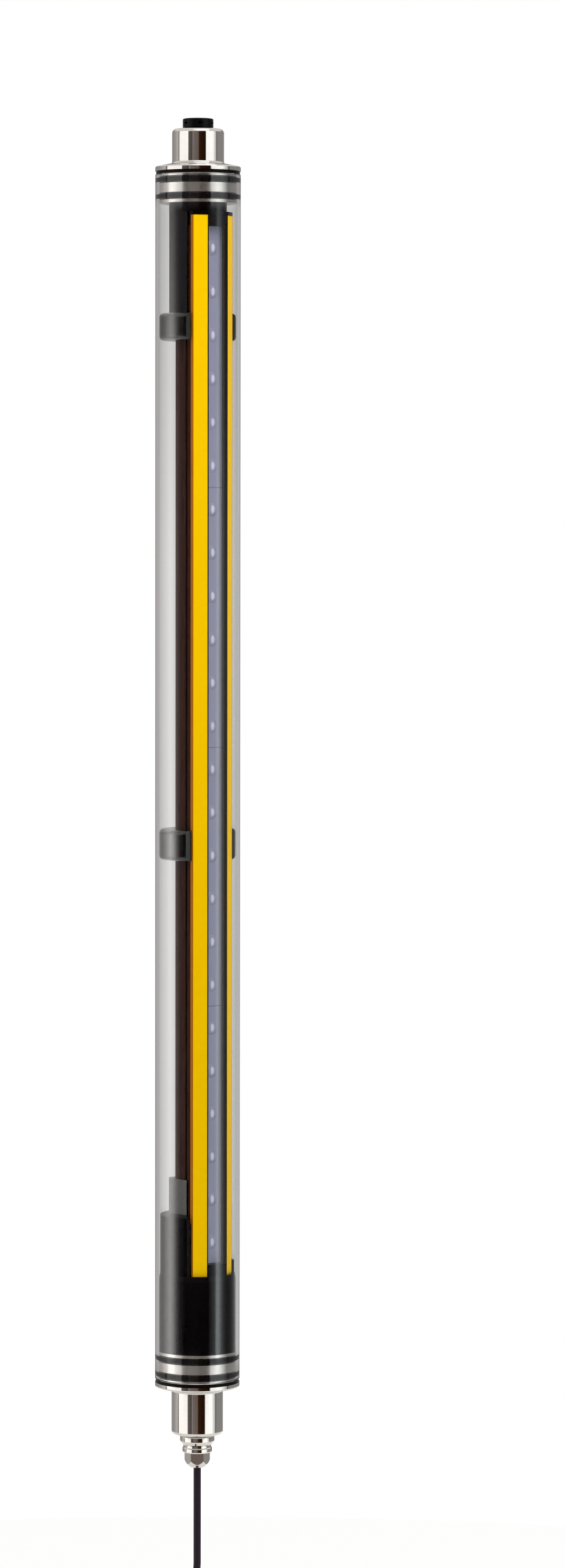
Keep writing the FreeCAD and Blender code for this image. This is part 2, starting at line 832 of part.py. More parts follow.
def make_front_window():
    """Smoked pane that the beams pass through, on the ledges of the housing."""
    body = new_body("front_window", housing_bottom)
    loop = box_loop(-half_window, half_window, -device_face_depth, -window_back_depth)
    pad(body, [loop], housing_length)


def make_yellow_strip(label, side):
    """Yellow corner strip, bent over the flank and a little way round the side."""
    section = facing([
        (half_window, device_face_depth),
        (half_window, under_strip_face),
        (under_strip_half, under_strip_shoulder),
        (under_strip_half, strip_foot_depth),
        (half_device, strip_foot_depth),
        (half_device, device_shoulder_depth),
    ])
    length = puck_bottom - d.upper_cap_height + d.strip_over_upper_cap - holder_top
    body = new_body(label, holder_top)
    pad(body, [[(across * side, up) for across, up in section]], length)


def cap_section():
    """Outline of the device's end caps: the housing's outside, closed across the front."""
    return mirrored(facing(device_outside[:-1] + [(half_window, device_face_depth)]))


def make_device_caps():
    """Moulded end caps of the device, screwed to the housing's ports."""
    screw_hole = d.cap_screw_diameter / 2
    lower = new_body("device_lower_cap", holder_top)
    pad(lower, [cap_section()] + port_circles(screw_hole), d.lower_cap_height)
    fillet(lower, upright_edges(lower, device_corners), d.device_corner_radius)

    upper = new_body("device_upper_cap", upper_cap_bottom)
    pad(upper, [cap_section()] + port_circles(screw_hole), d.upper_cap_height)
    fillet(upper, upright_edges(upper, device_corners), d.device_corner_radius)
    lip_bottom = d.upper_cap_height - d.cap_lip_height
    brow = facing([
        (half_device, strip_foot_depth),
        (half_device, device_shoulder_depth),
        (half_window, device_face_depth + d.cap_lip_overhang),
    ])
    pad(upper, [mirrored(brow)], d.cap_lip_height, lip_bottom)


def make_end_gaskets():
    """Flat seals between the housing and its end caps."""
    opening_half = port_inner_half - d.end_gasket_opening_margin
    opening = box_loop(-opening_half, opening_half, -ledge_back_depth, ZERO)
    for label, bottom in (
        ("lower_cap_gasket", housing_bottom - d.end_gasket_thickness),
        ("upper_cap_gasket", housing_top),
    ):
        body = new_body(label, bottom)
        pad(body, [cap_section(), opening] + port_circles(d.cap_screw_diameter / 2), d.end_gasket_thickness)
        fillet(body, upright_edges(body, device_corners), d.device_corner_radius)


# ---------------------------------------------------------------- optics and electronics

carrier_back_depth = port_top_depth + d.board_thickness
carrier_front_depth = carrier_back_depth + d.carrier_height
board_half = inner_half - d.board_side_clearance
first_lens = (d.module_length - d.lens_pitch * (LENSES_PER_MODULE - 1)) / 2


def module_bottom(index):
    return housing_bottom + d.module_length * index


def lens_heights(index):
    return [module_bottom(index) + first_lens + d.lens_pitch * lens for lens in range(LENSES_PER_MODULE)]


def bored_through_front(name, base, heights, radius, back_depth, length):
    """Cuts one round hole along the beam direction at each height."""
    drills = []
    for number, height in enumerate(heights):
        drill = cylinder(f"{name}_drill_{number}", radius, height, length, y=-back_depth)
        drill.Placement.Rotation = FreeCAD.Rotation(Vector(1, 0, 0), 90)
        drills.append(drill)
    return minus(name, base, fused(name + "_drills", drills))


def lens_dome(name, height):
    """A shallow spherical cap that stands on the front of the lens plate."""
    lens_radius = d.lens_diameter / 2
    sphere_radius = (lens_radius * lens_radius + d.lens_rise * d.lens_rise) / (d.lens_rise * 2)
    foot = sphere_radius - d.lens_rise
    foot_share = foot / sphere_radius
    dome = doc.addObject("Part::Sphere", name)
    bind(dome, "Radius", sphere_radius)
    bind(dome, "Angle1", Size(math.degrees(math.asin(foot_share.value)), f"asin({foot_share.formula})"))
    bind(dome, "Placement.Base.y", foot - carrier_front_depth - d.lens_plate_thickness)
    bind(dome, "Placement.Base.z", height)
    dome.Placement.Rotation = FreeCAD.Rotation(Vector(1, 0, 0), 90)
    return dome


def make_optics_module(index):
    """One optics module: a circuit board, the black carrier with its funnels, and the moulded lens plate."""
    number = index + 1
    bottom = module_bottom(index)
    board = block(f"optics_board_{number}", (-board_half, -carrier_back_depth, bottom),
                  (board_half * 2, d.board_thickness, d.module_length))
    finish(board, f"optics_board_{number}")

    blank = block(f"lens_carrier_{number}_blank", (-inner_half, -carrier_front_depth, bottom),
                  (inner_half * 2, d.carrier_height, d.module_length))
    carrier = bored_through_front(f"lens_carrier_{number}", blank, lens_heights(index),
                                  d.lens_aperture_diameter / 2, carrier_back_depth, d.carrier_height)
    finish(carrier, f"lens_carrier_{number}")

    plate = block(f"lens_plate_{number}_blank",
                  (-d.lens_plate_width / 2, -carrier_front_depth - d.lens_plate_thickness, bottom),
                  (d.lens_plate_width, d.lens_plate_thickness, d.module_length))
    domes = [
        lens_dome(f"lens_plate_{number}_dome_{lens}", height)
        for lens, height in enumerate(lens_heights(index))
    ]
    finish(fused(f"lens_plate_{number}", [plate] + domes), f"lens_plate_{number}")


def make_electronics():
    """Emitter chips, the control board on the housing's back wall, and the links between boards."""
    chips = []
    half_chip = d.emitter_size / 2
    for index in range(MODULE_COUNT):
        for lens, height in enumerate(lens_heights(index)):
            chips.append(block(f"emitter_{index}_{lens}",
                               (-half_chip, -carrier_back_depth - d.emitter_height, height - half_chip),
                               (d.emitter_size, d.emitter_height, d.emitter_size)))
    finish(group("emitters", chips), "emitters")

    control_bottom = housing_bottom + (d.module_length - d.control_board_length) / 2
    control = block("control_board",
                    (-d.control_board_width / 2, inner_back_depth - d.board_thickness, control_bottom),
                    (d.control_board_width, d.board_thickness, d.control_board_length))
    finish(control, "control_board")

    gap = port_top_depth + inner_back_depth - d.board_thickness
    links = []
    for index in range(MODULE_COUNT):
        height = module_bottom(index) - d.board_link_length / 2
        if index == 0:
            height = housing_bottom + (d.module_length - d.board_link_length) / 2
        links.append(block(f"board_link_{index}",
                           (-d.board_link_width / 2, -port_top_depth, height),
                           (d.board_link_width, gap, d.board_link_length)))
    finish(group("board_links", links), "board_links")


# ---------------------------------------------------------------- holders, brackets and spacers

arm_cut_width = d.tube_diameter
cradle_radius = fitted_radius - d.cradle_step


def device_room():
    """What the device takes from a spacer: its back and sides, open to the front."""
    return [
        (-half_device, device_back_depth), (-half_device, -arm_front_depth),
        (-arm_cut_width, -arm_front_depth), (-arm_cut_width, -d.tube_diameter),
        (arm_cut_width, -d.tube_diameter), (arm_cut_width, -arm_front_depth),
        (half_device, -arm_front_depth), (half_device, device_back_depth),
    ]


def bracket_room():
    """What a bracket takes from the spacer or cradle round it."""
    return [
        (-bracket_half, bracket_back_depth), (-bracket_half, -arm_front_depth),
        (-arm_cut_width, -arm_front_depth), (-arm_cut_width, -d.tube_diameter),
        (arm_cut_width, -d.tube_diameter), (arm_cut_width, -arm_front_depth),
        (bracket_half, -arm_front_depth), (bracket_half, bracket_back_depth),
    ]


def make_bottom_holder():
    """Black moulded holder: a round cup on the bottom cap and a cradle round the device's foot."""
    body = new_body("bottom_holder", holder_bottom)
    height = d.holder_height
    revolve(body, [
        (d.holder_floor_hole_diameter / 2, ZERO),
        (fitted_radius, ZERO),
        (fitted_radius, height - d.holder_step_height),
        (cradle_radius, height),
        (ZERO, height),
        (ZERO, height - d.holder_deck_thickness),
        (cup_inside_radius, height - d.holder_deck_thickness),
        (cup_inside_radius, d.holder_floor_thickness),
        (d.holder_floor_hole_diameter / 2, d.holder_floor_thickness),
    ])
    pad(body, [(ZERO, ZERO, cradle_radius)], d.cradle_high_arm, height)
    cradle_top = height + d.cradle_high_arm
    pocket(body, [device_room()], d.cradle_high_arm, cradle_top)
    pocket(body, [bracket_room()], d.cradle_high_arm - d.lower_bracket_seat, cradle_top)
    pocket(body, [box_loop(d.cradle_split, d.tube_diameter, -d.tube_diameter, d.tube_diameter)],
           d.cradle_high_arm - d.cradle_low_arm, cradle_top)
    connector_hole = (ZERO, -connector_depth, d.connector_diameter / 2)
    pocket(body, [connector_hole] + port_circles(d.cap_screw_diameter / 2), d.holder_deck_thickness, height)
    floor_holes = [(x, y, d.holder_screw_diameter / 2) for x, y in floor_screw_places]
    pocket(body, floor_holes, d.holder_floor_thickness, d.holder_floor_thickness)


def make_bracket(label, bottom, height):
    """U-shaped bracket that grips the device's back and sides."""
    body = new_body(label, bottom)
    pad(body, [mirrored(facing([
        (bracket_half, -bracket_back_depth),
        (bracket_half, bracket_front_depth),
        (half_device, bracket_front_depth),
        (half_device, -device_back_depth),
    ]))], height)
    fillet(body, upright_edges(body, bracket_corners), d.bracket_corner_radius)


def make_brackets():
    make_bracket("lower_bracket", holder_top + d.lower_bracket_seat, d.lower_bracket_height)
    make_bracket("rear_cover", puck_bottom - d.rear_cover_height, d.rear_cover_height)
    make_bracket("upper_bracket", puck_bottom - d.rear_cover_height - d.upper_bracket_height,
                 d.upper_bracket_height)


def make_spacer(label, bottom, height, room):
    """Half-moon spacer that fills the bore behind the device and keeps it in line with the tube."""
    body = new_body(label, bottom)
    revolve(body, [(ZERO, ZERO), (fitted_radius, ZERO), (fitted_radius, height), (ZERO, height)])
    rims = ring_edges(body, fitted_radius, ZERO) + ring_edges(body, fitted_radius, height)
    fillet(body, rims, d.spacer_edge_radius)
    pocket(body, [room], height, height)


def make_spacers():
    upper_bottom = puck_bottom - d.rear_cover_height - d.upper_bracket_height
    make_spacer("upper_spacer", upper_bottom, d.upper_spacer_height, bracket_room())
    make_spacer("middle_spacer", holder_top + d.middle_spacer_rise, d.middle_spacer_height, device_room())


def make_top_puck():
    """Round black boss that ties the device's upper cap to the top end cap."""
    body = new_body("top_puck", puck_bottom)
    shank = d.holder_screw_diameter / 2
    holes = [(x, y, shank) for x, y in puck_screw_places] + port_circles(d.cap_screw_diameter / 2)
    pad(body, [(ZERO, ZERO, d.puck_diameter / 2)] + holes, d.puck_height)
    heads = [(x, y, d.holder_screw_head_diameter / 2) for x, y in puck_screw_places]
    pocket(body, heads, d.holder_screw_head_height, d.holder_screw_head_height)
    pocket(body, port_circles(d.cap_screw_head_diameter / 2), d.cap_screw_head_height, d.puck_height)


# ---------------------------------------------------------------- screws


def make_screw(name, place, shank_radius, head_radius, head_bottom, head_height, tip, points_down):
    """Socket-head screw at an (x, y) place, from its head to its tip."""
    x, y = place
    head = cylinder(name + "_head", head_radius, head_bottom, head_height, x, y)
    if points_down:
        shank = cylinder(name + "_shank", shank_radius, tip, head_bottom - tip, x, y)
        socket_bottom = head_bottom + head_height / 2
    else:
        head_top = head_bottom + head_height
        shank = cylinder(name + "_shank", shank_radius, head_top, tip - head_top, x, y)
        socket_bottom = head_bottom
    socket_radius = head_radius * d.drive_socket_share
    socket = cylinder(name + "_socket", socket_radius, socket_bottom, head_height / 2, x, y)
    return minus(name, fused(name + "_blank", [head, shank]), socket)


def make_screw_sets():
    cap_shank = d.cap_screw_diameter / 2
    cap_head = d.cap_screw_head_diameter / 2
    big_shank = d.holder_screw_diameter / 2
    big_head = d.holder_screw_head_diameter / 2
    ports = [(across, up) for across, up in port_centres]

    finish(group("upper_cap_screws", [
        make_screw(f"upper_cap_screw_{i}", place, cap_shank, cap_head, puck_top - d.cap_screw_head_height,
                   d.cap_screw_head_height, housing_top - d.cap_screw_grip, True)
        for i, place in enumerate(ports)
    ]), "upper_cap_screws")
    deck_under = holder_top - d.holder_deck_thickness
    finish(group("lower_cap_screws", [
        make_screw(f"lower_cap_screw_{i}", place, cap_shank, cap_head, deck_under - d.cap_screw_head_height,
                   d.cap_screw_head_height, housing_bottom + d.cap_screw_grip, False)
        for i, place in enumerate(ports)
    ]), "lower_cap_screws")
    finish(group("puck_screws", [
        make_screw(f"puck_screw_{i}", place, big_shank, big_head, puck_bottom, d.holder_screw_head_height,
                   puck_top + d.holder_screw_thread, False)
        for i, place in enumerate(puck_screw_places)
    ]), "puck_screws")
    floor_top = holder_bottom + d.holder_floor_thickness
    finish(group("holder_screws", [
        make_screw(f"holder_screw_{i}", place, big_shank, big_head, floor_top, d.holder_screw_head_height,
                   holder_bottom - d.holder_screw_thread, True)
        for i, place in enumerate(floor_screw_places)
    ]), "holder_screws")


# ---------------------------------------------------------------- lead


def smooth_wire(points):
    """Straight runs joined by tangent arcs, each as large as its two runs allow."""
    edges, radii = [], []
    start = points[0]
    for before, corner, after in zip(points, points[1:], points[2:]):
        into, out = corner - before, after - corner
        turn = into.getAngle(out)
        reach = 0.45 * min(into.Length, out.Length)
        radius = reach / math.tan(turn / 2)
        radii.append(radius)
        into.normalize()
        out.normalize()
        bend_start, bend_end = corner - into * reach, corner + out * reach
        towards_centre = (out - into).normalize()
        middle = corner + towards_centre * (radius / math.cos(turn / 2) - radius)
        edges.append(Part.LineSegment(start, bend_start).toShape())
        edges.append(Part.Arc(bend_start, middle, bend_end).toShape())
        start = bend_end
    edges.append(Part.LineSegment(start, points[-1]).toShape())
    return Part.Wire(edges), radii


def make_lead(label, points):
    """A plain round tube along a lead's route."""
    wire, radii = smooth_wire(points)
    section = Part.Wire(Part.makeCircle(lead_radius.value, points[0], points[1] - points[0]))
    solid = wire.makePipeShell([section], True, True)
    expected = math.pi * lead_radius.value**2 * wire.Length
    if abs(solid.Volume / expected - 1) > 0.01:
        raise RuntimeError(f"{label}: the tube's volume does not match its length")
    print(label, "length", round(wire.Length, 1), "bend radii", [round(radius, 1) for radius in radii])
    item = doc.addObject("Part::Feature", label)
    item.Shape = solid
    item.Placement = FreeCAD.Placement()
    return finish(item, label)


connector_bottom = holder_top - d.connector_length
plug_bottom = connector_bottom - d.plug_length
plug_neck_bottom = plug_bottom - d.plug_neck_length
swing_top = gland_bottom - d.lead_straight_drop
swing_bottom = swing_top - d.lead_swing_drop
hank_top = swing_bottom - d.lead_settle_drop
hank_bottom = hank_top - d.hank_run
hank_outer_radius = d.hank_inner_radius + d.hank_turn_pitch * (HANK_STRANDS - 1)


def make_inner_lead():
    """The device's connector, the plug on it, and the lead down through the cap and the gland."""
    across = -connector_depth
    connector_radius = d.connector_diameter / 2
    finish(cylinder("device_connector", connector_radius, connector_bottom, d.connector_length, y=across),
           "device_connector")
    grip = cylinder("lead_plug_grip", d.plug_diameter / 2, plug_bottom, d.plug_length, y=across)
    neck_radius = d.plug_neck_diameter / 2
    neck = cylinder("lead_plug_neck", neck_radius, plug_neck_bottom, d.plug_neck_length, y=across)
    finish(fused("lead_plug", [grip, neck]), "lead_plug")
    shift_top = plug_neck_bottom - d.inner_lead_straight
    shift_bottom = shift_top - d.inner_lead_shift
    make_lead("inner_lead", [
        Vector(0, across.value, plug_neck_bottom.value),
        Vector(0, across.value, shift_top.value),
        Vector(0, 0, shift_bottom.value),
        Vector(0, 0, gland_bottom.value),
    ])


def make_outer_lead():
    """The lead hangs straight, then swings out to the side run of its tied hank."""
    side = -hank_outer_radius.value
    make_lead("cable", [
        Vector(0, 0, gland_bottom.value),
        Vector(0, 0, swing_top.value),
        Vector(side, 0, swing_bottom.value),
        Vector(side, 0, hank_top.value),
    ])


def stadium(name, radius, thickness, back):
    """A flat loop shape in the XZ plane: two round ends and the straight between them."""
    ends = []
    for end, height in (("upper", hank_top), ("lower", hank_bottom)):
        disc = cylinder(f"{name}_{end}_end", radius, height, thickness, y=back)
        disc.Placement.Rotation = FreeCAD.Rotation(Vector(1, 0, 0), 90)
        ends.append(disc)
    low = (-radius, back - thickness, hank_bottom)
    middle = block(name + "_middle", low, (radius * 2, thickness, d.hank_run))
    return fused(name, ends + [middle])


def make_hank():
    """The put-away length: long turns in two layers, one winding inwards and the other out again."""
    outside = hank_outer_radius + lead_radius
    inside = d.hank_inner_radius - lead_radius
    layer = d.lead_diameter
    arch = outside - d.hank_turn_pitch
    layers = []
    for name, back, side_height, low in (
        ("hank_front", lead_radius, hank_top, True),
        ("hank_rear", lead_radius + layer, hank_bottom - outside, False),
    ):
        loop = minus(name + "_loop", stadium(name + "_outline", outside, layer, back),
                     stadium(name + "_eye", inside, layer, back))
        room = block(name + "_room", (-outside, back - layer, side_height), (outside * 2, layer, outside))
        keep = cylinder(name + "_arch", arch, hank_top if low else hank_bottom, layer, y=back)
        keep.Placement.Rotation = FreeCAD.Rotation(Vector(1, 0, 0), 90)
        layers.append(minus(name, loop, minus(name + "_cut", room, keep)))
    finish(fused("cable_hank", layers), "cable_hank")

    depth = layer * 2
    middle = (hank_top + hank_bottom) / 2 - d.tie_width / 2
    band = d.tie_thickness
    around = block("hank_tie_outside", (-outside - band, -lead_radius - band, middle),
                   (outside * 2 + band * 2, depth + band * 2, d.tie_width))
    within = block("hank_tie_inside", (-outside, -lead_radius, middle), (outside * 2, depth, d.tie_width))
    finish(minus("hank_tie", around, within), "hank_tie")


def make_lead_ends():
    """Stripped end of the lead: the insulated cores, each with its crimped ferrule."""
    cores, ferrules = [], []
    for number in range(CORE_COUNT):
        angle = math.radians(360.0 / CORE_COUNT * number)
        x = -hank_outer_radius + d.core_ring_diameter * (math.cos(angle) / 2)
        y = d.lead_diameter + d.core_ring_diameter * (math.sin(angle) / 2)
        core_bottom = hank_bottom - d.core_length
        cores.append(cylinder(f"core_{number}", d.core_diameter / 2, core_bottom, d.core_length, x, y))
        ferrules.append(cylinder(f"ferrule_{number}", d.ferrule_diameter / 2, core_bottom - d.ferrule_length,
                                 d.ferrule_length, x, y))
    finish(group("lead_cores", cores), "lead_cores")
    finish(group("core_ferrules", ferrules), "core_ferrules")


# ---------------------------------------------------------------- build and export

make_protective_tube()
make_end_caps()
make_o_rings()
make_flange_gaskets()
make_vent()
make_gland()
make_device_housing()
make_front_window()
make_yellow_strip("left_yellow_strip", -1)
make_yellow_strip("right_yellow_strip", 1)
make_device_caps()
make_end_gaskets()
for module in range(MODULE_COUNT):
    make_optics_module(module)
make_electronics()
make_bottom_holder()
make_brackets()
make_spacers()
make_top_puck()
make_screw_sets()
make_inner_lead()
make_outer_lead()
make_hank()
make_lead_ends()
doc.recompute()

for item in doc.Objects:
    if "Invalid" in item.State or "Error" in item.State:
        raise RuntimeError(f"{item.Label} failed: {item.State}")
for item in sub_parts:
    if item.Shape.isNull() or not item.Shape.isValid():
        raise RuntimeError(f"{item.Label} has no valid shape")

os.makedirs("parts", exist_ok=True)
for item in sub_parts:
    item.Shape.exportStep(f"parts/{item.Label}.step")
print(len(sub_parts), "sub-parts written")
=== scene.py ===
"""Looks of a safety light curtain that is sealed in a clear wash-down tube.

The script is written in the order in which the unit is put together, one section for each piece or group of
like pieces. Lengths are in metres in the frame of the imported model: +Z runs up the tube, and the sensing
device looks out along -Y.
"""
import math

import bmesh
import bpy
from mathutils import Euler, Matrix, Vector


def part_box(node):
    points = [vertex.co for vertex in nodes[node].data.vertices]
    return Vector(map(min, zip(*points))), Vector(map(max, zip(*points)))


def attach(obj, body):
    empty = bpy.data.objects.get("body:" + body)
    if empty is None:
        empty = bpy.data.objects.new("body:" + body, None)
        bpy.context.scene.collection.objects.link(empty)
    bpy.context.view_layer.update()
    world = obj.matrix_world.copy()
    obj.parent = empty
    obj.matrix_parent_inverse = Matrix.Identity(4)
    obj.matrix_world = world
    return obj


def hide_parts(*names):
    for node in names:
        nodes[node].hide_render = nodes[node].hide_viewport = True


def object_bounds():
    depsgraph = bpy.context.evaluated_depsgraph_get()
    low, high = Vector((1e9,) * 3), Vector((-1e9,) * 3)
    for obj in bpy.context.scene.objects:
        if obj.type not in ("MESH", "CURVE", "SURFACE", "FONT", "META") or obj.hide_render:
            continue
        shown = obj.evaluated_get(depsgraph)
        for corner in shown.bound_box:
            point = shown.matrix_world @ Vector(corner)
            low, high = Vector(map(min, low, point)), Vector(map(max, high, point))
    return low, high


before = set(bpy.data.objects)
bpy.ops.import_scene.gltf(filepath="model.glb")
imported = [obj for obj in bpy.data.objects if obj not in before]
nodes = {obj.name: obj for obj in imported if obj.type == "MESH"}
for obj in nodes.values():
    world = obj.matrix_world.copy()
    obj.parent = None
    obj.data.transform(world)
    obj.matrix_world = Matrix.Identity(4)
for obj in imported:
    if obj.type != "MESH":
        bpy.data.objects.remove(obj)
cad_box = [list(corner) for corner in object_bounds()]
MM = 0.001

# ---------------------------------------------------------------------------------------------------
# The room. A pale, plain studio: a white floor under the hanging lead, a lamp overhead, one high in front
# and one at the foot, and tones all round that the polished steel and the tube show as upright stripes.

# The camera's bearing from the front, its distance from the tube and its height, then how far it tips down,
# looks aside and leans. Angles are in degrees. FOCAL_SHARE is its lens as a share of its frame's long side.
CAMERA_TURN = 38.0
CAMERA_DISTANCE = 3.527
CAMERA_HEIGHT = 0.637
CAMERA_PITCH = 3.1
CAMERA_YAW = 0.968
CAMERA_ROLL = 0.09
FOCAL_SHARE = 3.1907
SENSOR_WIDTH = 36.0
SIGHT_RANGE = 60.0

scene = bpy.context.scene
scene.view_settings.view_transform = "Standard"
scene.cycles.blur_glossy = 0.0

turn = math.radians(CAMERA_TURN)
to_camera = Vector((-math.sin(turn), -math.cos(turn), 0.0))
to_right = Vector((math.cos(turn), -math.sin(turn), 0.0))

camera_data = bpy.data.cameras.new("studio_camera")
camera_data.sensor_fit = "AUTO"
camera_data.sensor_width = SENSOR_WIDTH
camera_data.lens = FOCAL_SHARE * SENSOR_WIDTH
camera_data.clip_end = SIGHT_RANGE
camera = bpy.data.objects.new("studio_camera", camera_data)
camera.location = to_camera * CAMERA_DISTANCE + Vector((0.0, 0.0, CAMERA_HEIGHT))
camera.rotation_euler = Euler([
    math.radians(angle) for angle in (90.0 - CAMERA_PITCH, -CAMERA_ROLL, -CAMERA_TURN - CAMERA_YAW)
])
scene.collection.objects.link(camera)
scene.camera = camera

# Each lamp: its name, its bearing from the camera's side and its elevation in degrees, its distance from the
# tube, its width and height, and its radiance. Only the top lamp shows as itself in polished surfaces. They
# are set round the height LAMP_MIDDLE.
LAMP_MIDDLE = 0.5
LAMPS = [
    ("top_lamp", 25.0, 62.0, 2.0, 1.6, 1.2, 1.6),
    ("front_lamp", 20.0, 52.0, 2.0, 2.6, 1.5, 1.8),
    ("foot_lamp", 20.0, -48.0, 2.0, 2.6, 1.1, 3.2),
]

for name, bearing, elevation, reach, width, height, radiance in LAMPS:
    level = to_camera * math.cos(math.radians(bearing)) + to_right * math.sin(math.radians(bearing))
    rise = Vector((0.0, 0.0, math.sin(math.radians(elevation))))
    outward = level * math.cos(math.radians(elevation)) + rise
    lamp_data = bpy.data.lights.new(name, "AREA")
    lamp_data.shape = "RECTANGLE"
    lamp_data.size = width
    lamp_data.size_y = height
    lamp_data.energy = radiance * math.pi * width * height
    lamp = bpy.data.objects.new(name, lamp_data)
    lamp.location = outward * reach + Vector((0.0, 0.0, LAMP_MIDDLE))
    lamp.rotation_euler = outward.to_track_quat("Z", "Y").to_euler()
    lamp.visible_camera = False
    lamp.visible_glossy = name == "top_lamp"
    scene.collection.objects.link(lamp)

# What each direction of the room looks like, by its bearing from the camera's side: (degrees to the right,
# brightness, warmth). The polished stubs mirror the first list, and the tube between them the second.
ROOM_AT_THE_ENDS = [
    (-180, 0.26, 0.04), (-128, 0.42, 0.06), (-99, 0.70, 0.08), (-95, 0.12, 0.2), (-92, 0.12, 0.2),
    (-91, 1.5, 0.03), (-45, 1.6, 0.03), (-44, 0.30, 0.08), (-41, 0.17, 0.15), (-31, 0.13, 0.18),
    (-25, 0.10, 0.2), (-23, 0.50, 0.08), (-21, 0.26, 0.25),
    (1, 0.20, 0.3), (5, 0.05, 0.85), (14, 0.035, 0.9), (34, 0.018, 0.8),
    (37, 1.6, 0.0), (70, 1.6, 0.0), (80, 1.0, -0.03), (88, 0.6, -0.05), (89, 0.3, 0.0), (92, 0.10, 0.1),
    (96, 0.36, 0.04), (180, 0.30, 0.04),
]
ROOM_AT_THE_TUBE = [
    (-180, 0.3, 0.05), (-160, 0.42, 0.04), (-135, 0.42, 0.05), (-120, 0.45, 0.06), (-105, 1.0, 0.06),
    (-92, 2.1, 0.05), (-81, 3.0, 0.04), (-70, 1.9, 0.05), (-61, 0.6, 0.06), (-51, 0.07, 0.1),
    (-42, 0.02, 0.15), (-34, 0.0, 0.2), (32, 0.0, 0.2),
    (44, 0.2, -0.1), (51, 0.4, -0.1), (56, 2.0, -0.1), (61, 1.8, -0.1),
    (73, 0.4, -0.1), (84, 0.1, 0.0), (95, 0.05, 0.0), (109, 0.1, 0.0), (125, 0.25, 0.0), (137, 0.45, 0.0),
    (160, 0.5, 0.0), (180, 0.3, 0.05),
]
ROOM_PEAK = 4.0
GREEN_SHARE_OF_WARMTH = 0.75
OVERHEAD = (0.92, 0.90, 0.87)
WHITE = (1.0, 1.0, 1.0)
BEHIND_THE_TUBE = (0.60, 0.60, 0.595)

# Where one tone of the room gives way to the next, as (start, end). Heights are the upward part of a
# direction of length 1, and FAR_WALL and AWAY_FROM_CAMERA are its part towards the camera. A count of
# scatters or mirrors below NONE_SO_FAR is nought.
TUBE_TONES_FADE = (-0.009, 0.061)
TUBE_TONES_LEAST = 0.32
FAR_WALL = (-0.62, -0.76)
ENDS_FROM_ABOVE = (0.0602, 0.0628)
ENDS_FROM_BELOW = (0.1665, 0.1695)
OVERHEAD_FROM = (0.26, 0.48)
AWAY_FROM_CAMERA = -0.3
NONE_SO_FAR = 0.5

world = bpy.data.worlds.new("studio")
scene.world = world
world.use_nodes = True
wires = world.node_tree
wires.nodes.clear()
link = wires.links.new
direction = wires.nodes.new("ShaderNodeTexCoord").outputs["Generated"]


def arithmetic(tree, operation, first, second=None):
    """One step of arithmetic among a tree's nodes. It takes sockets or plain numbers."""
    node = tree.nodes.new("ShaderNodeMath")
    node.operation = operation
    for socket, value in zip(node.inputs, (first, second)):
        if isinstance(value, (int, float)):
            socket.default_value = value
        elif value is not None:
            tree.links.new(value, socket)
    return node.outputs[0]


def world_part(vector):
    """How far the direction looked in points along a vector."""
    node = wires.nodes.new("ShaderNodeVectorMath")
    node.operation = "DOT_PRODUCT"
    link(direction, node.inputs[0])
    node.inputs[1].default_value = vector
    return node.outputs["Value"]


def world_span(value, span, to_low=0.0, to_high=1.0):
    """Runs from to_low to to_high while the value crosses the span."""
    node = wires.nodes.new("ShaderNodeMapRange")
    for socket, number in zip(list(node.inputs)[1:5], (*span, to_low, to_high)):
        socket.default_value = number
    link(value, node.inputs["Value"])
    return node.outputs["Result"]


def world_blend(share, first, second):
    """Mixes two colours of the room. Plain ones are written at full brightness."""
    node = wires.nodes.new("ShaderNodeMix")
    node.data_type = "RGBA"
    link(share, node.inputs["Factor"])
    for socket, colour in ((node.inputs["A"], first), (node.inputs["B"], second)):
        if isinstance(colour, tuple):
            socket.default_value = (*(level / ROOM_PEAK for level in colour), 1.0)
        else:
            link(colour, socket)
    return node.outputs["Result"]


bearing = arithmetic(wires, "ARCTAN2", world_part(to_right), world_part(to_camera))
along_ramp = arithmetic(wires, "ADD", arithmetic(wires, "DIVIDE", bearing, 2.0 * math.pi), 0.5)
height = world_part((0.0, 0.0, 1.0))
depth = arithmetic(wires, "MULTIPLY", height, -1.0)


def ramp_of(tree, value, stops):
    """A colour ramp along a value, with its stops as (position, colour)."""
    node = tree.nodes.new("ShaderNodeValToRGB")
    tree.links.new(value, node.inputs["Fac"])
    elements = node.color_ramp.elements
    while len(elements) < len(stops):
        elements.new(1.0)
    for element, (position, colour) in zip(elements, stops):
        element.position = position
        element.color = (*colour, 1.0)
    return node


def room_ramp(tones):
    """The tones all round, from -180 to 180 degrees."""
    stops = []
    for degrees, level, warmth in tones:
        shade = level / ROOM_PEAK
        colour = (shade, shade * (1.0 - warmth * GREEN_SHARE_OF_WARMTH), shade * (1.0 - warmth))
        stops.append((degrees / 360.0 + 0.5, colour))
    return ramp_of(wires, along_ramp, stops).outputs["Color"]


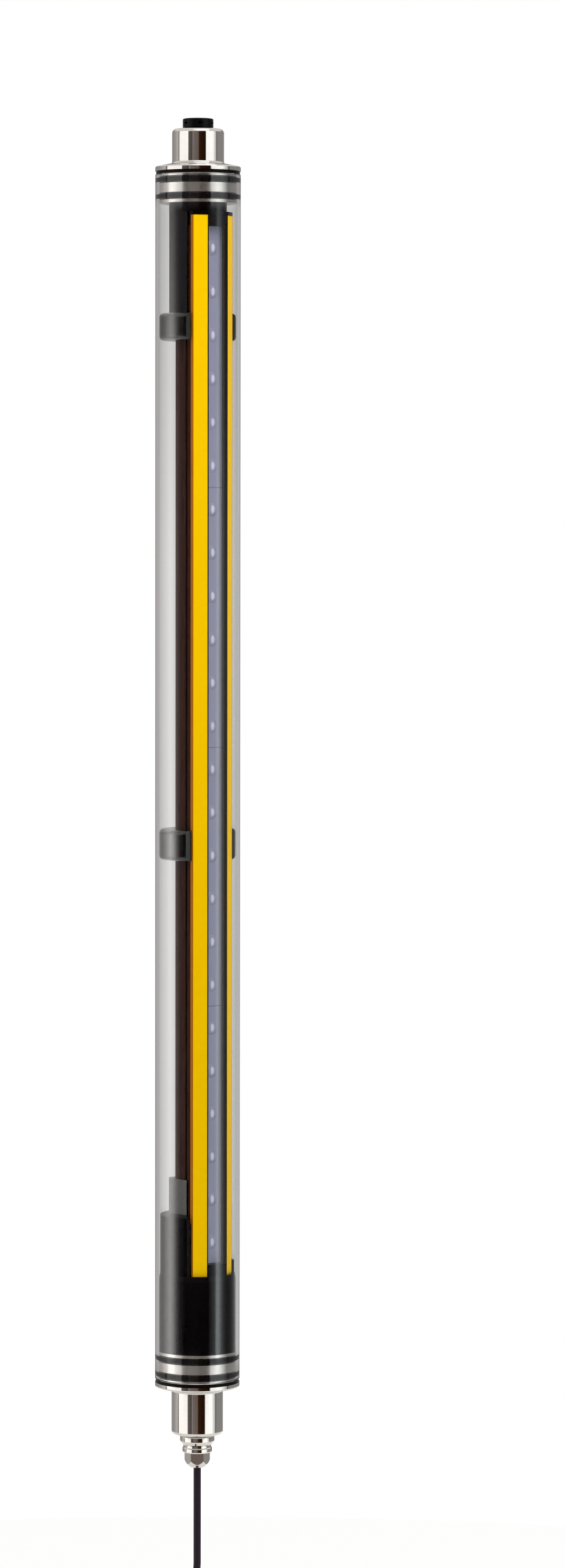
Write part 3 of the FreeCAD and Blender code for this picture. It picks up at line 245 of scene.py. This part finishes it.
fading = wires.nodes.new("ShaderNodeVectorMath")
fading.operation = "SCALE"
link(room_ramp(ROOM_AT_THE_TUBE), fading.inputs[0])
lower_tones = world_span(height, TUBE_TONES_FADE, 1.0, TUBE_TONES_LEAST)
far_wall = world_span(world_part(to_camera), FAR_WALL)
link(arithmetic(wires, "MAXIMUM", lower_tones, far_wall), fading.inputs["Scale"])
at_the_ends = arithmetic(
    wires, "MAXIMUM", world_span(height, ENDS_FROM_ABOVE), world_span(depth, ENDS_FROM_BELOW))
room = world_blend(at_the_ends, fading.outputs[0], room_ramp(ROOM_AT_THE_ENDS))
room = world_blend(world_span(arithmetic(wires, "ABSOLUTE", height), OVERHEAD_FROM), room, OVERHEAD)

rays = wires.nodes.new("ShaderNodeLightPath")


def world_shader(colour, strength=1.0):
    """Light of one colour, or of the room's tones."""
    node = wires.nodes.new("ShaderNodeBackground")
    node.inputs["Strength"].default_value = strength
    if isinstance(colour, tuple):
        node.inputs["Color"].default_value = (*colour, 1.0)
    else:
        link(colour, node.inputs["Color"])
    return node.outputs[0]


def world_mix(share, first, second):
    """Changes from the first light to the second."""
    node = wires.nodes.new("ShaderNodeMixShader")
    link(share, node.inputs[0])
    link(first, node.inputs[1])
    link(second, node.inputs[2])
    return node.outputs[0]


no_scatter_yet = arithmetic(wires, "LESS_THAN", rays.outputs["Diffuse Depth"], NONE_SO_FAR)
no_mirror_yet = arithmetic(wires, "LESS_THAN", rays.outputs["Glossy Depth"], NONE_SO_FAR)
away_from_camera = arithmetic(wires, "LESS_THAN", world_part(to_camera), AWAY_FROM_CAMERA)
untouched = arithmetic(wires, "MULTIPLY", no_scatter_yet, no_mirror_yet)
straight_through = arithmetic(wires, "MULTIPLY", untouched, away_from_camera)
through_the_tube = arithmetic(wires, "MULTIPLY", rays.outputs["Is Transmission Ray"], straight_through)
tones = world_shader(room, ROOM_PEAK)
tones = world_mix(through_the_tube, tones, world_shader(BEHIND_THE_TUBE))
tones = world_mix(rays.outputs["Is Camera Ray"], tones, world_shader(WHITE))
output = wires.nodes.new("ShaderNodeOutputWorld")
link(tones, output.inputs["Surface"])

FLOOR_GAP = 0.02
FLOOR_RADIUS = 1.25
FLOOR_SIDES = 96
FLOOR_PAINT = (0.86, 0.86, 0.85, 1.0)
FLOOR_GLOW = 1.0
FLOOR_GLOW_SHARE = 0.85

floor_mesh = bpy.data.meshes.new("studio_floor")
floor_form = bmesh.new()
bmesh.ops.create_circle(floor_form, cap_ends=True, segments=FLOOR_SIDES, radius=FLOOR_RADIUS)
floor_form.to_mesh(floor_mesh)
floor_form.free()
floor = bpy.data.objects.new("studio_floor", floor_mesh)
floor.location.z = cad_box[0][2] - FLOOR_GAP
scene.collection.objects.link(floor)

floor_look = bpy.data.materials.new("floor_paint")
floor_look.use_nodes = True
tree = floor_look.node_tree
tree.nodes.clear()
paint = tree.nodes.new("ShaderNodeBsdfDiffuse")
paint.inputs["Color"].default_value = FLOOR_PAINT
glow = tree.nodes.new("ShaderNodeEmission")
glow.inputs["Color"].default_value = (*WHITE, 1.0)
glow.inputs["Strength"].default_value = FLOOR_GLOW
floor_rays = tree.nodes.new("ShaderNodeLightPath")
seen_by_eye = floor_rays.outputs["Is Camera Ray"]
seen_through = floor_rays.outputs["Is Transmission Ray"]
share = arithmetic(tree, "MULTIPLY", arithmetic(tree, "MAXIMUM", seen_by_eye, seen_through), FLOOR_GLOW_SHARE)
blend = tree.nodes.new("ShaderNodeMixShader")
tree.links.new(share, blend.inputs[0])
tree.links.new(paint.outputs[0], blend.inputs[1])
tree.links.new(glow.outputs[0], blend.inputs[2])
surface = tree.nodes.new("ShaderNodeOutputMaterial")
tree.links.new(blend.outputs[0], surface.inputs["Surface"])
floor_mesh.materials.append(floor_look)

# ---------------------------------------------------------------------------------------------------
# The lead. One thin screened cable with a smooth dark sheath. It hangs straight from the gland, and the
# rest of its two metres is folded into a hank of long turns in two layers, with a tie round the middle.

LEAD_DIAMETER = 5.3 * MM
HANK_OUTER = 33.08 * MM
HANK_PITCH = 5.5 * MM
HANK_STRANDS = 4
BEND_STEPS = 6
STRAIGHT_DROPS = (0.0, 25.0 * MM, 55.0 * MM, 84.6 * MM)
HANK_ENTRY_DROP = 124.6 * MM
ROUND_STEPS = 5
LENGTH_STEPS = 6

gland_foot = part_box("gland_cap_nut")[0].z
hank_low, hank_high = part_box("cable_hank")
outside = HANK_OUTER + LEAD_DIAMETER / 2
hank_top = hank_high.z - outside
hank_bottom = hank_low.z + outside

route = [(0.0, 0.0, gland_foot - drop) for drop in STRAIGHT_DROPS]
route.append((-HANK_OUTER, 0.0, gland_foot - HANK_ENTRY_DROP))
half_step = math.pi / BEND_STEPS / 2
corner_stretch = 1.0 / math.cos(half_step)


def add_fold(radius, centre_height, first_angle, depth):
    """Half a turn round one end of the hank, counted anticlockwise from first_angle."""
    for step in range(BEND_STEPS):
        angle = first_angle + half_step * (2 * step + 1)
        reach = radius * corner_stretch
        route.append((reach * math.cos(angle), depth, centre_height + reach * math.sin(angle)))


def add_run(start_x, end_x, start_depth, end_depth, downwards):
    """A straight side of the hank, with a point near each end."""
    heights = [
        hank_top - abs(start_x if downwards else end_x) * math.tan(half_step),
        hank_bottom + abs(end_x if downwards else start_x) * math.tan(half_step),
    ]
    if not downwards:
        heights.reverse()
    route.append((start_x, start_depth, heights[0]))
    route.append((end_x, end_depth, heights[1]))


front, rear = 0.0, LEAD_DIAMETER
inwards = [HANK_OUTER - HANK_PITCH * strand for strand in range(HANK_STRANDS)]
for here, following in zip(inwards, inwards[1:]):
    add_run(-here, -here, front, front, True)
    add_fold(here, hank_bottom, math.pi, front)
    add_run(here, following, front, front, False)
    add_fold(following, hank_top, 0.0, front)
add_run(-inwards[-1], -inwards[-1], front, rear, True)
outwards = inwards[::-1]
for here, following in zip(outwards, outwards[1:]):
    add_fold(here, hank_bottom, math.pi, rear)
    add_run(here, following, rear, rear, False)
    add_fold(following, hank_top, 0.0, rear)
    add_run(-following, -following, rear, rear, True)
route[-1] = (-HANK_OUTER, rear, hank_bottom)

lead_curve = bpy.data.curves.new("lead", "CURVE")
lead_curve.dimensions = "3D"
lead_curve.bevel_depth = LEAD_DIAMETER / 2
lead_curve.bevel_resolution = ROUND_STEPS
lead_curve.resolution_u = LENGTH_STEPS
lead_curve.use_fill_caps = True
line = lead_curve.splines.new("NURBS")
line.points.add(len(route) - 1)
for point, place in zip(line.points, route):
    point.co = (*place, 1.0)
line.order_u = 3
line.use_endpoint_u = True
lead = bpy.data.objects.new("lead", lead_curve)
scene.collection.objects.link(lead)
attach(lead, "root")
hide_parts("cable", "cable_hank")


SHEEN = 0.25
GRAIN_LOW, GRAIN_HIGH = 0.3, 0.7


def new_finish(name, colour, roughness, metallic=0.0, sheen=SHEEN):
    """A material with one plain shader. The helpers below give it the grain of the real surface."""
    finish = bpy.data.materials.new(name)
    finish.use_nodes = True
    shader = finish.node_tree.nodes["Principled BSDF"]
    shader.inputs["Base Color"].default_value = (*colour, 1.0)
    shader.inputs["Roughness"].default_value = roughness
    shader.inputs["Metallic"].default_value = metallic
    shader.inputs["Specular IOR Level"].default_value = sheen
    return finish


def grain_of(finish, size, stretch=(1.0, 1.0, 1.0), detail=3.0):
    """Noise whose cells are about size metres across, drawn out along the axes in stretch."""
    tree = finish.node_tree
    place = tree.nodes.new("ShaderNodeTexCoord")
    mapping = tree.nodes.new("ShaderNodeMapping")
    mapping.inputs["Scale"].default_value = [1.0 / (size * share) for share in stretch]
    noise = tree.nodes.new("ShaderNodeTexNoise")
    noise.inputs["Scale"].default_value = 1.0
    noise.inputs["Detail"].default_value = detail
    tree.links.new(place.outputs["Object"], mapping.inputs["Vector"])
    tree.links.new(mapping.outputs["Vector"], noise.inputs["Vector"])
    return noise.outputs["Fac"]


def tint(finish, grain, first, second):
    """Lets the colour wander between two shades."""
    tree = finish.node_tree
    mix = tree.nodes.new("ShaderNodeMix")
    mix.data_type = "RGBA"
    mix.inputs["A"].default_value = (*first, 1.0)
    mix.inputs["B"].default_value = (*second, 1.0)
    tree.links.new(grain, mix.inputs["Factor"])
    tree.links.new(mix.outputs["Result"], tree.nodes["Principled BSDF"].inputs["Base Color"])


def polish(finish, grain, smooth, rough):
    """Lets the roughness wander between two values."""
    tree = finish.node_tree
    span = tree.nodes.new("ShaderNodeMapRange")
    span.inputs["From Min"].default_value = GRAIN_LOW
    span.inputs["From Max"].default_value = GRAIN_HIGH
    span.inputs["To Min"].default_value = smooth
    span.inputs["To Max"].default_value = rough
    tree.links.new(grain, span.inputs["Value"])
    tree.links.new(span.outputs["Result"], tree.nodes["Principled BSDF"].inputs["Roughness"])


def emboss(finish, grain, height, strength=1.0):
    """Raises the surface by the grain, by up to height metres. A second call adds to the first."""
    tree = finish.node_tree
    bump = tree.nodes.new("ShaderNodeBump")
    bump.inputs["Distance"].default_value = height
    bump.inputs["Strength"].default_value = strength
    normal = tree.nodes["Principled BSDF"].inputs["Normal"]
    if normal.is_linked:
        tree.links.new(normal.links[0].from_socket, bump.inputs["Normal"])
    tree.links.new(grain, bump.inputs["Height"])
    tree.links.new(bump.outputs["Normal"], normal)


def set_apart(finish, socket_name, where, value):
    """Gives a socket another value where the mask is 1, over what is linked to it."""
    tree = finish.node_tree
    socket = tree.nodes["Principled BSDF"].inputs[socket_name]
    mix = tree.nodes.new("ShaderNodeMix")
    if isinstance(value, tuple):
        mix.data_type = "RGBA"
        value = (*value, 1.0)
    mix.inputs["B"].default_value = value
    tree.links.new(where, mix.inputs["Factor"])
    tree.links.new(socket.links[0].from_socket, mix.inputs["A"])
    tree.links.new(mix.outputs["Result"], socket)


def dress(finish, *names):
    """Gives CAD nodes their finish."""
    for name in names:
        for holder in nodes[name].material_slots:
            holder.material = finish


sheath = new_finish("lead_sheath", (0.020, 0.014, 0.020), 0.36, sheen=0.12)
sheath_grain = grain_of(sheath, 0.9 * MM, (1.0, 1.0, 4.0))
tint(sheath, sheath_grain, (0.012, 0.007, 0.012), (0.021, 0.013, 0.021))
polish(sheath, sheath_grain, 0.30, 0.44)
emboss(sheath, grain_of(sheath, 0.25 * MM), 0.02 * MM, 0.5)
lead_curve.materials.append(sheath)

# ---------------------------------------------------------------------------------------------------
# The lead's free end. Five cores in their own thin coloured insulation, each crimped into a tinned ferrule,
# and the woven band that ties the hank.

CORE_COLOURS = [
    (0.80, 0.78, 0.74), (0.035, 0.10, 0.42), (0.012, 0.012, 0.013), (0.26, 0.27, 0.28), (0.17, 0.07, 0.03),
]
CORE_TURN = -36.0

insulation = new_finish("core_insulation", CORE_COLOURS[0], 0.4)
tree = insulation.node_tree
core_low, core_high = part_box("lead_cores")
core_place = tree.nodes.new("ShaderNodeTexCoord")
core_ring = tree.nodes.new("ShaderNodeTexGradient")
core_ring.gradient_type = "RADIAL"
core_mapping = tree.nodes.new("ShaderNodeMapping")
core_mapping.vector_type = "TEXTURE"
core_mapping.inputs["Location"].default_value = (core_low + core_high) / 2
core_mapping.inputs["Rotation"].default_value = (0.0, 0.0, math.radians(CORE_TURN))
tree.links.new(core_place.outputs["Object"], core_mapping.inputs["Vector"])
tree.links.new(core_mapping.outputs["Vector"], core_ring.inputs["Vector"])
core_stops = [(index / len(CORE_COLOURS), colour) for index, colour in enumerate(CORE_COLOURS)]
core_ramp = ramp_of(tree, core_ring.outputs["Fac"], core_stops)
core_ramp.color_ramp.interpolation = "CONSTANT"
tree.links.new(core_ramp.outputs["Color"], tree.nodes["Principled BSDF"].inputs["Base Color"])
emboss(insulation, grain_of(insulation, 0.2 * MM), 0.01 * MM, 0.4)
dress(insulation, "lead_cores")

tin = new_finish("tinned_ferrule", (0.66, 0.65, 0.62), 0.3, 1.0)
tin_grain = grain_of(tin, 0.3 * MM, (1.0, 1.0, 2.0))
polish(tin, tin_grain, 0.22, 0.42)
emboss(tin, tin_grain, 0.02 * MM, 0.6)
dress(tin, "core_ferrules")

band = new_finish("tie_band", (0.018, 0.018, 0.020), 0.75)
band_weave = grain_of(band, 0.35 * MM, (6.0, 6.0, 1.0))
tint(band, band_weave, (0.010, 0.010, 0.012), (0.034, 0.034, 0.037))
emboss(band, band_weave, 0.12 * MM, 0.7)
emboss(band, grain_of(band, 0.5 * MM, (0.6, 0.6, 3.0)), 0.1 * MM, 0.5)
dress(band, "hank_tie")

# ---------------------------------------------------------------------------------------------------
# The two end caps. Each is turned from one bar of stainless steel and polished: a plug with two ring
# grooves that slides into the tube, a flange that meets its end, and a round stub that a bracket clamps.

STEEL = (0.64, 0.62, 0.59)
TOOL_MARK = 0.22 * MM
PLUG_ROUGHNESS = 0.26

tube_low, tube_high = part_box("protective_tube")
steel = new_finish("polished_stainless", STEEL, 0.05, 1.0)
steel_cloud = grain_of(steel, 9.0 * MM, (1.0, 1.0, 0.5))
tint(steel, steel_cloud, (0.62, 0.60, 0.57), (0.66, 0.64, 0.61))
steel_marks = grain_of(steel, TOOL_MARK, (60.0, 60.0, 1.0), 2.0)
polish(steel, steel_marks, 0.035, 0.07)
emboss(steel, steel_marks, 0.003 * MM, 0.3)
tree = steel.node_tree
steel_place = tree.nodes.new("ShaderNodeNewGeometry")
steel_height = tree.nodes.new("ShaderNodeSeparateXYZ")
tree.links.new(steel_place.outputs["Position"], steel_height.inputs[0])
from_middle = arithmetic(tree, "SUBTRACT", steel_height.outputs["Z"], (tube_low.z + tube_high.z) / 2)
far_out = arithmetic(tree, "ABSOLUTE", from_middle)
inside_tube = arithmetic(tree, "LESS_THAN", far_out, (tube_high.z - tube_low.z) / 2)
set_apart(steel, "Roughness", inside_tube, PLUG_ROUGHNESS)
dress(steel, "top_end_cap", "bottom_end_cap")

# ---------------------------------------------------------------------------------------------------
# Seals. Four moulded rings fill the plugs' grooves and press on the tube's bore, and a flat gasket lies
# between each flange and the tube's end. All are black rubber with a faint bloom.

rubber = new_finish("seal_rubber", (0.005, 0.0045, 0.005), 0.3, sheen=0.06)
bloom = grain_of(rubber, 2.5 * MM)
tint(rubber, bloom, (0.0015, 0.0012, 0.0015), (0.004, 0.003, 0.004))
polish(rubber, bloom, 0.24, 0.34)
emboss(rubber, grain_of(rubber, 0.12 * MM), 0.015 * MM, 0.5)
dress(
    rubber, "bottom_outer_o_ring", "bottom_inner_o_ring", "top_inner_o_ring", "top_outer_o_ring",
    "bottom_flange_gasket", "top_flange_gasket", "vent_seal", "gland_seal", "gland_sleeve",
    "lower_cap_gasket", "upper_cap_gasket",
)

# ---------------------------------------------------------------------------------------------------
# The protective tube. Cast acrylic, polished inside and out, with sawn and lightly broken ends. The
# seals press on its bore, so they show through the wall at full width.

TUBE_SIDES = 256
TUBE_BORE = 27.485 * MM
TUBE_EDGE = 0.25 * MM
ACRYLIC_TINT = (0.985, 0.985, 0.98)
ACRYLIC_INDEX = 1.49
CREASE_ANGLE = 30.0

tube_outline = [
    (TUBE_BORE, tube_low.z + TUBE_EDGE),
    (TUBE_BORE + TUBE_EDGE, tube_low.z),
    (tube_high.x - TUBE_EDGE, tube_low.z),
    (tube_high.x, tube_low.z + TUBE_EDGE),
    (tube_high.x, tube_high.z - TUBE_EDGE),
    (tube_high.x - TUBE_EDGE, tube_high.z),
    (TUBE_BORE + TUBE_EDGE, tube_high.z),
    (TUBE_BORE, tube_high.z - TUBE_EDGE),
]


def turned_mesh(name, outline, sides, finish):
    """A closed outline of (radius, height) corners, turned round the tube's axis."""
    mesh = bpy.data.meshes.new(name)
    count = len(outline)
    turns = [2 * math.pi * side / sides for side in range(sides)]
    corners = [
        (radius * math.cos(turn), radius * math.sin(turn), height)
        for turn in turns
        for radius, height in outline
    ]
    faces = [
        (side * count + corner, (side + 1) % sides * count + corner,
         (side + 1) % sides * count + (corner + 1) % count, side * count + (corner + 1) % count)
        for side in range(sides)
        for corner in range(count)
    ]
    mesh.from_pydata(corners, [], faces)
    shape = bmesh.new()
    shape.from_mesh(mesh)
    bmesh.ops.recalc_face_normals(shape, faces=shape.faces)
    shape.to_mesh(mesh)
    shape.free()
    mesh.shade_smooth()
    mesh.set_sharp_from_angle(angle=math.radians(CREASE_ANGLE))
    mesh.materials.append(finish)
    piece = bpy.data.objects.new(name, mesh)
    scene.collection.objects.link(piece)
    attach(piece, "root")
    return piece


def see_through(finish):
    """Makes a finish as clear as acrylic."""
    shader = finish.node_tree.nodes["Principled BSDF"]
    shader.inputs["Transmission Weight"].default_value = 1.0
    shader.inputs["IOR"].default_value = ACRYLIC_INDEX


acrylic = new_finish("clear_acrylic", ACRYLIC_TINT, 0.0, sheen=0.5)
see_through(acrylic)
polish(acrylic, grain_of(acrylic, 30.0 * MM, (1.0, 1.0, 3.0)), 0.0, 0.02)
tube = turned_mesh("clear_tube", tube_outline, TUBE_SIDES, acrylic)
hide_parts("protective_tube")

# ---------------------------------------------------------------------------------------------------
# The pressure vent. A moulded black body screwed into the upper stub, a porous film over its bore, and a
# snap-on cap whose slots let the tube breathe when it warms and cools.

vent_black = new_finish("vent_black", (0.004, 0.004, 0.004), 0.24, sheen=0.08)
vent_grain = grain_of(vent_black, 0.6 * MM)
tint(vent_black, vent_grain, (0.0015, 0.0015, 0.0015), (0.003, 0.003, 0.0035))
polish(vent_black, vent_grain, 0.2, 0.3)
emboss(vent_black, grain_of(vent_black, 0.18 * MM), 0.02 * MM, 0.5)
dress(vent_black, "vent_body", "vent_cap")

film = new_finish("vent_membrane", (0.80, 0.80, 0.78), 0.9)
emboss(film, grain_of(film, 0.08 * MM), 0.02 * MM, 0.8)
dress(film, "vent_membrane")

# ---------------------------------------------------------------------------------------------------
# The cable gland. A smooth hygienic gland of polished stainless steel: a collar and a waist above, a
# hexagon that runs out into a rounded nose below, and a plastic ring inside that grips the sleeve.

gland_steel = new_finish("gland_stainless", (0.66, 0.64, 0.61), 0.08, 1.0)
gland_cloud = grain_of(gland_steel, 5.0 * MM)
tint(gland_steel, gland_cloud, (0.63, 0.61, 0.57), (0.68, 0.66, 0.63))
polish(gland_steel, gland_cloud, 0.06, 0.1)
emboss(gland_steel, grain_of(gland_steel, 0.15 * MM, (20.0, 20.0, 1.0)), 0.004 * MM, 0.3)
dress(gland_steel, "gland_body", "gland_cap_nut")

# ---------------------------------------------------------------------------------------------------
# The sensing device's casing. One long dark brown anodised extrusion, a smoked window over its open front,
# a yellow strip along each front corner, and a moulded black cap with a gasket at each end.

coat = new_finish("brown_anodised", (0.028, 0.009, 0.006), 0.30, sheen=0.05)
coat_cloud = grain_of(coat, 6.0 * MM, (1.0, 1.0, 8.0))
tint(coat, coat_cloud, (0.022, 0.007, 0.0045), (0.036, 0.012, 0.008))
polish(coat, coat_cloud, 0.24, 0.34)
emboss(coat, grain_of(coat, 0.25 * MM, (1.0, 1.0, 12.0)), 0.01 * MM, 0.4)
dress(coat, "device_housing")

smoke = new_finish("smoked_window", (0.83, 0.83, 0.93), 0.03)
see_through(smoke)
polish(smoke, grain_of(smoke, 14.0 * MM, (1.0, 1.0, 5.0)), 0.02, 0.05)
dress(smoke, "front_window")

YELLOW = (0.93, 0.58, 0.0)
# A dark orange painted on the narrow outer side of each strip as shade, and how far in from the strip's outer
# edge that painted shade reaches.
RETURN_SHADE_YELLOW = (0.40, 0.13, 0.002)
RETURN_SHADE_DEPTH = 0.4 * MM
YELLOW_INDEX = 1.25

yellow = new_finish("signal_yellow", YELLOW, 0.32)
yellow.node_tree.nodes["Principled BSDF"].inputs["IOR"].default_value = YELLOW_INDEX
yellow_cloud = grain_of(yellow, 12.0 * MM, (1.0, 1.0, 6.0))
tint(yellow, yellow_cloud, (0.91, 0.56, 0.0), (0.95, 0.60, 0.0))
tree = yellow.node_tree
strip_place = tree.nodes.new("ShaderNodeTexCoord")
strip_across = tree.nodes.new("ShaderNodeSeparateXYZ")
tree.links.new(strip_place.outputs["Object"], strip_across.inputs[0])
# Painted shade: nearer the strip's outer edge than the depth above, the yellow gives way to the dark orange.
strip_side = arithmetic(tree, "ABSOLUTE", strip_across.outputs["X"])
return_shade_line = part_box("right_yellow_strip")[1].x - RETURN_SHADE_DEPTH
set_apart(yellow, "Base Color", arithmetic(tree, "GREATER_THAN", strip_side, return_shade_line), RETURN_SHADE_YELLOW)
polish(yellow, yellow_cloud, 0.26, 0.38)
emboss(yellow, grain_of(yellow, 1.4 * MM), 0.01 * MM, 0.4)
dress(yellow, "left_yellow_strip", "right_yellow_strip")

moulded_black = new_finish("moulded_black", (0.004, 0.003, 0.004), 0.22, sheen=0.1)
mould_grain = grain_of(moulded_black, 1.1 * MM)
tint(moulded_black, mould_grain, (0.002, 0.0015, 0.002), (0.005, 0.004, 0.005))
polish(moulded_black, mould_grain, 0.11, 0.17)
emboss(moulded_black, grain_of(moulded_black, 0.25 * MM), 0.01 * MM, 0.4)
dress(moulded_black, "device_lower_cap", "device_upper_cap")

# ---------------------------------------------------------------------------------------------------
# The optics modules. In each, a green board carries the small lamps or detectors, a black carrier holds a
# funnel over each, and a clear moulded plate in front carries the lenses.

MODULES = range(1, 5)

carrier_black = new_finish("carrier_black", (0.012, 0.012, 0.014), 0.6)
emboss(carrier_black, grain_of(carrier_black, 0.3 * MM), 0.03 * MM, 0.6)
dress(carrier_black, *(f"lens_carrier_{module}" for module in MODULES))

MODULE_LENGTH = 182.5 * MM
LENSES = 6
LENS_PITCH = MODULE_LENGTH / LENSES
# A white spot painted at the middle of each lens as its highlight: its radius, how soft its rim is as a share
# of that, how much longer than wide it is, and its colour.
LENS_GLINT_RADIUS = 1.5 * MM
LENS_GLINT_BLUR = 0.25
LENS_GLINT_STRETCH = 0.55
LENS_PLATE = (0.48, 0.49, 0.55)
PAINTED_LENS_GLINT = (1.0, 1.0, 1.0)
SEAM = 0.35 * MM
SEAM_TONE = (0.30, 0.30, 0.36)

lens_clear = new_finish("lens_clear", (0.62, 0.64, 0.70), 0.12)
tree = lens_clear.node_tree
plate_place = tree.nodes.new("ShaderNodeTexCoord")
plate_axes = tree.nodes.new("ShaderNodeSeparateXYZ")
tree.links.new(plate_place.outputs["Object"], plate_axes.inputs[0])
along_plate = arithmetic(tree, "SUBTRACT", plate_axes.outputs["Z"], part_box("device_housing")[0].z)
past_border = arithmetic(tree, "PINGPONG", along_plate, LENS_PITCH / 2)
beyond_lens = arithmetic(tree, "SUBTRACT", past_border, LENS_PITCH / 2)
up_from_glint = arithmetic(tree, "MULTIPLY", beyond_lens, LENS_GLINT_STRETCH)
up_squared = arithmetic(tree, "POWER", up_from_glint, 2.0)
across_squared = arithmetic(tree, "POWER", plate_axes.outputs["X"], 2.0)
off_centre = arithmetic(tree, "SQRT", arithmetic(tree, "ADD", up_squared, across_squared))
# Painted highlight: over a soft spot at the centre of each lens, the plate's colour turns to white, standing
# for the glint of light on the lens.
lens_glint = tree.nodes.new("ShaderNodeMapRange")
lens_glint.inputs["From Min"].default_value = LENS_GLINT_RADIUS * (1.0 + LENS_GLINT_BLUR)
lens_glint.inputs["From Max"].default_value = LENS_GLINT_RADIUS * (1.0 - LENS_GLINT_BLUR)
tree.links.new(off_centre, lens_glint.inputs["Value"])
tint(lens_clear, lens_glint.outputs["Result"], LENS_PLATE, PAINTED_LENS_GLINT)
past_joint = arithmetic(tree, "PINGPONG", along_plate, MODULE_LENGTH / 2)
on_the_seam = arithmetic(tree, "LESS_THAN", past_joint, SEAM)
set_apart(lens_clear, "Base Color", on_the_seam, SEAM_TONE)
polish(lens_clear, grain_of(lens_clear, 4.0 * MM), 0.08, 0.16)
dress(lens_clear, *(f"lens_plate_{module}" for module in MODULES))

laminate = new_finish("green_laminate", (0.02, 0.12, 0.05), 0.4)
laminate_weave = grain_of(laminate, 0.5 * MM, (1.0, 1.0, 1.0), 1.0)
tint(laminate, laminate_weave, (0.014, 0.09, 0.036), (0.03, 0.16, 0.07))
emboss(laminate, laminate_weave, 0.02 * MM, 0.4)
dress(laminate, "control_board", *(f"optics_board_{module}" for module in MODULES))

package = new_finish("emitter_package", (0.72, 0.68, 0.52), 0.25)
emboss(package, grain_of(package, 0.3 * MM), 0.01 * MM, 0.4)
dress(package, "emitters")

link_plastic = new_finish("link_plastic", (0.66, 0.63, 0.54), 0.5)
emboss(link_plastic, grain_of(link_plastic, 0.3 * MM), 0.02 * MM, 0.5)
dress(link_plastic, "board_links")

# ---------------------------------------------------------------------------------------------------
# Holders, brackets and spacers. A black moulded cup with a cradle stands on the lower cap, a puck hangs
# under the upper one, and glossy brackets and half-moon spacers keep the device in line with the tube.

glossy_black = new_finish("glossy_black", (0.006, 0.005, 0.005), 0.08, sheen=0.7)
glossy_grain = grain_of(glossy_black, 1.5 * MM)
tint(glossy_black, glossy_grain, (0.004, 0.0035, 0.0035), (0.008, 0.007, 0.007))
polish(glossy_black, glossy_grain, 0.07, 0.11)
emboss(glossy_black, grain_of(glossy_black, 0.4 * MM), 0.004 * MM, 0.3)
dress(glossy_black, "lower_bracket", "upper_spacer", "middle_spacer", "gland_clamping_ring")
dress(moulded_black, "bottom_holder", "rear_cover", "upper_bracket", "top_puck", "lead_plug")

# ---------------------------------------------------------------------------------------------------
# Fasteners and the lead inside. Plain stainless screws hold the caps, the puck and the holder, and the
# lead runs from the device's nickel-plated connector down through the lower cap.

screw_steel = new_finish("screw_steel", (0.56, 0.55, 0.53), 0.28, 1.0)
screw_grain = grain_of(screw_steel, 0.3 * MM)
polish(screw_steel, screw_grain, 0.2, 0.36)
emboss(screw_steel, screw_grain, 0.01 * MM, 0.5)
dress(screw_steel, "upper_cap_screws", "lower_cap_screws", "puck_screws", "holder_screws")

nickel = new_finish("nickel_plate", (0.60, 0.57, 0.50), 0.22, 1.0)
nickel_grain = grain_of(nickel, 0.8 * MM)
polish(nickel, nickel_grain, 0.15, 0.3)
emboss(nickel, grain_of(nickel, 0.3 * MM, (8.0, 8.0, 1.0)), 0.02 * MM, 0.5)
dress(nickel, "device_connector")
dress(sheath, "inner_lead")
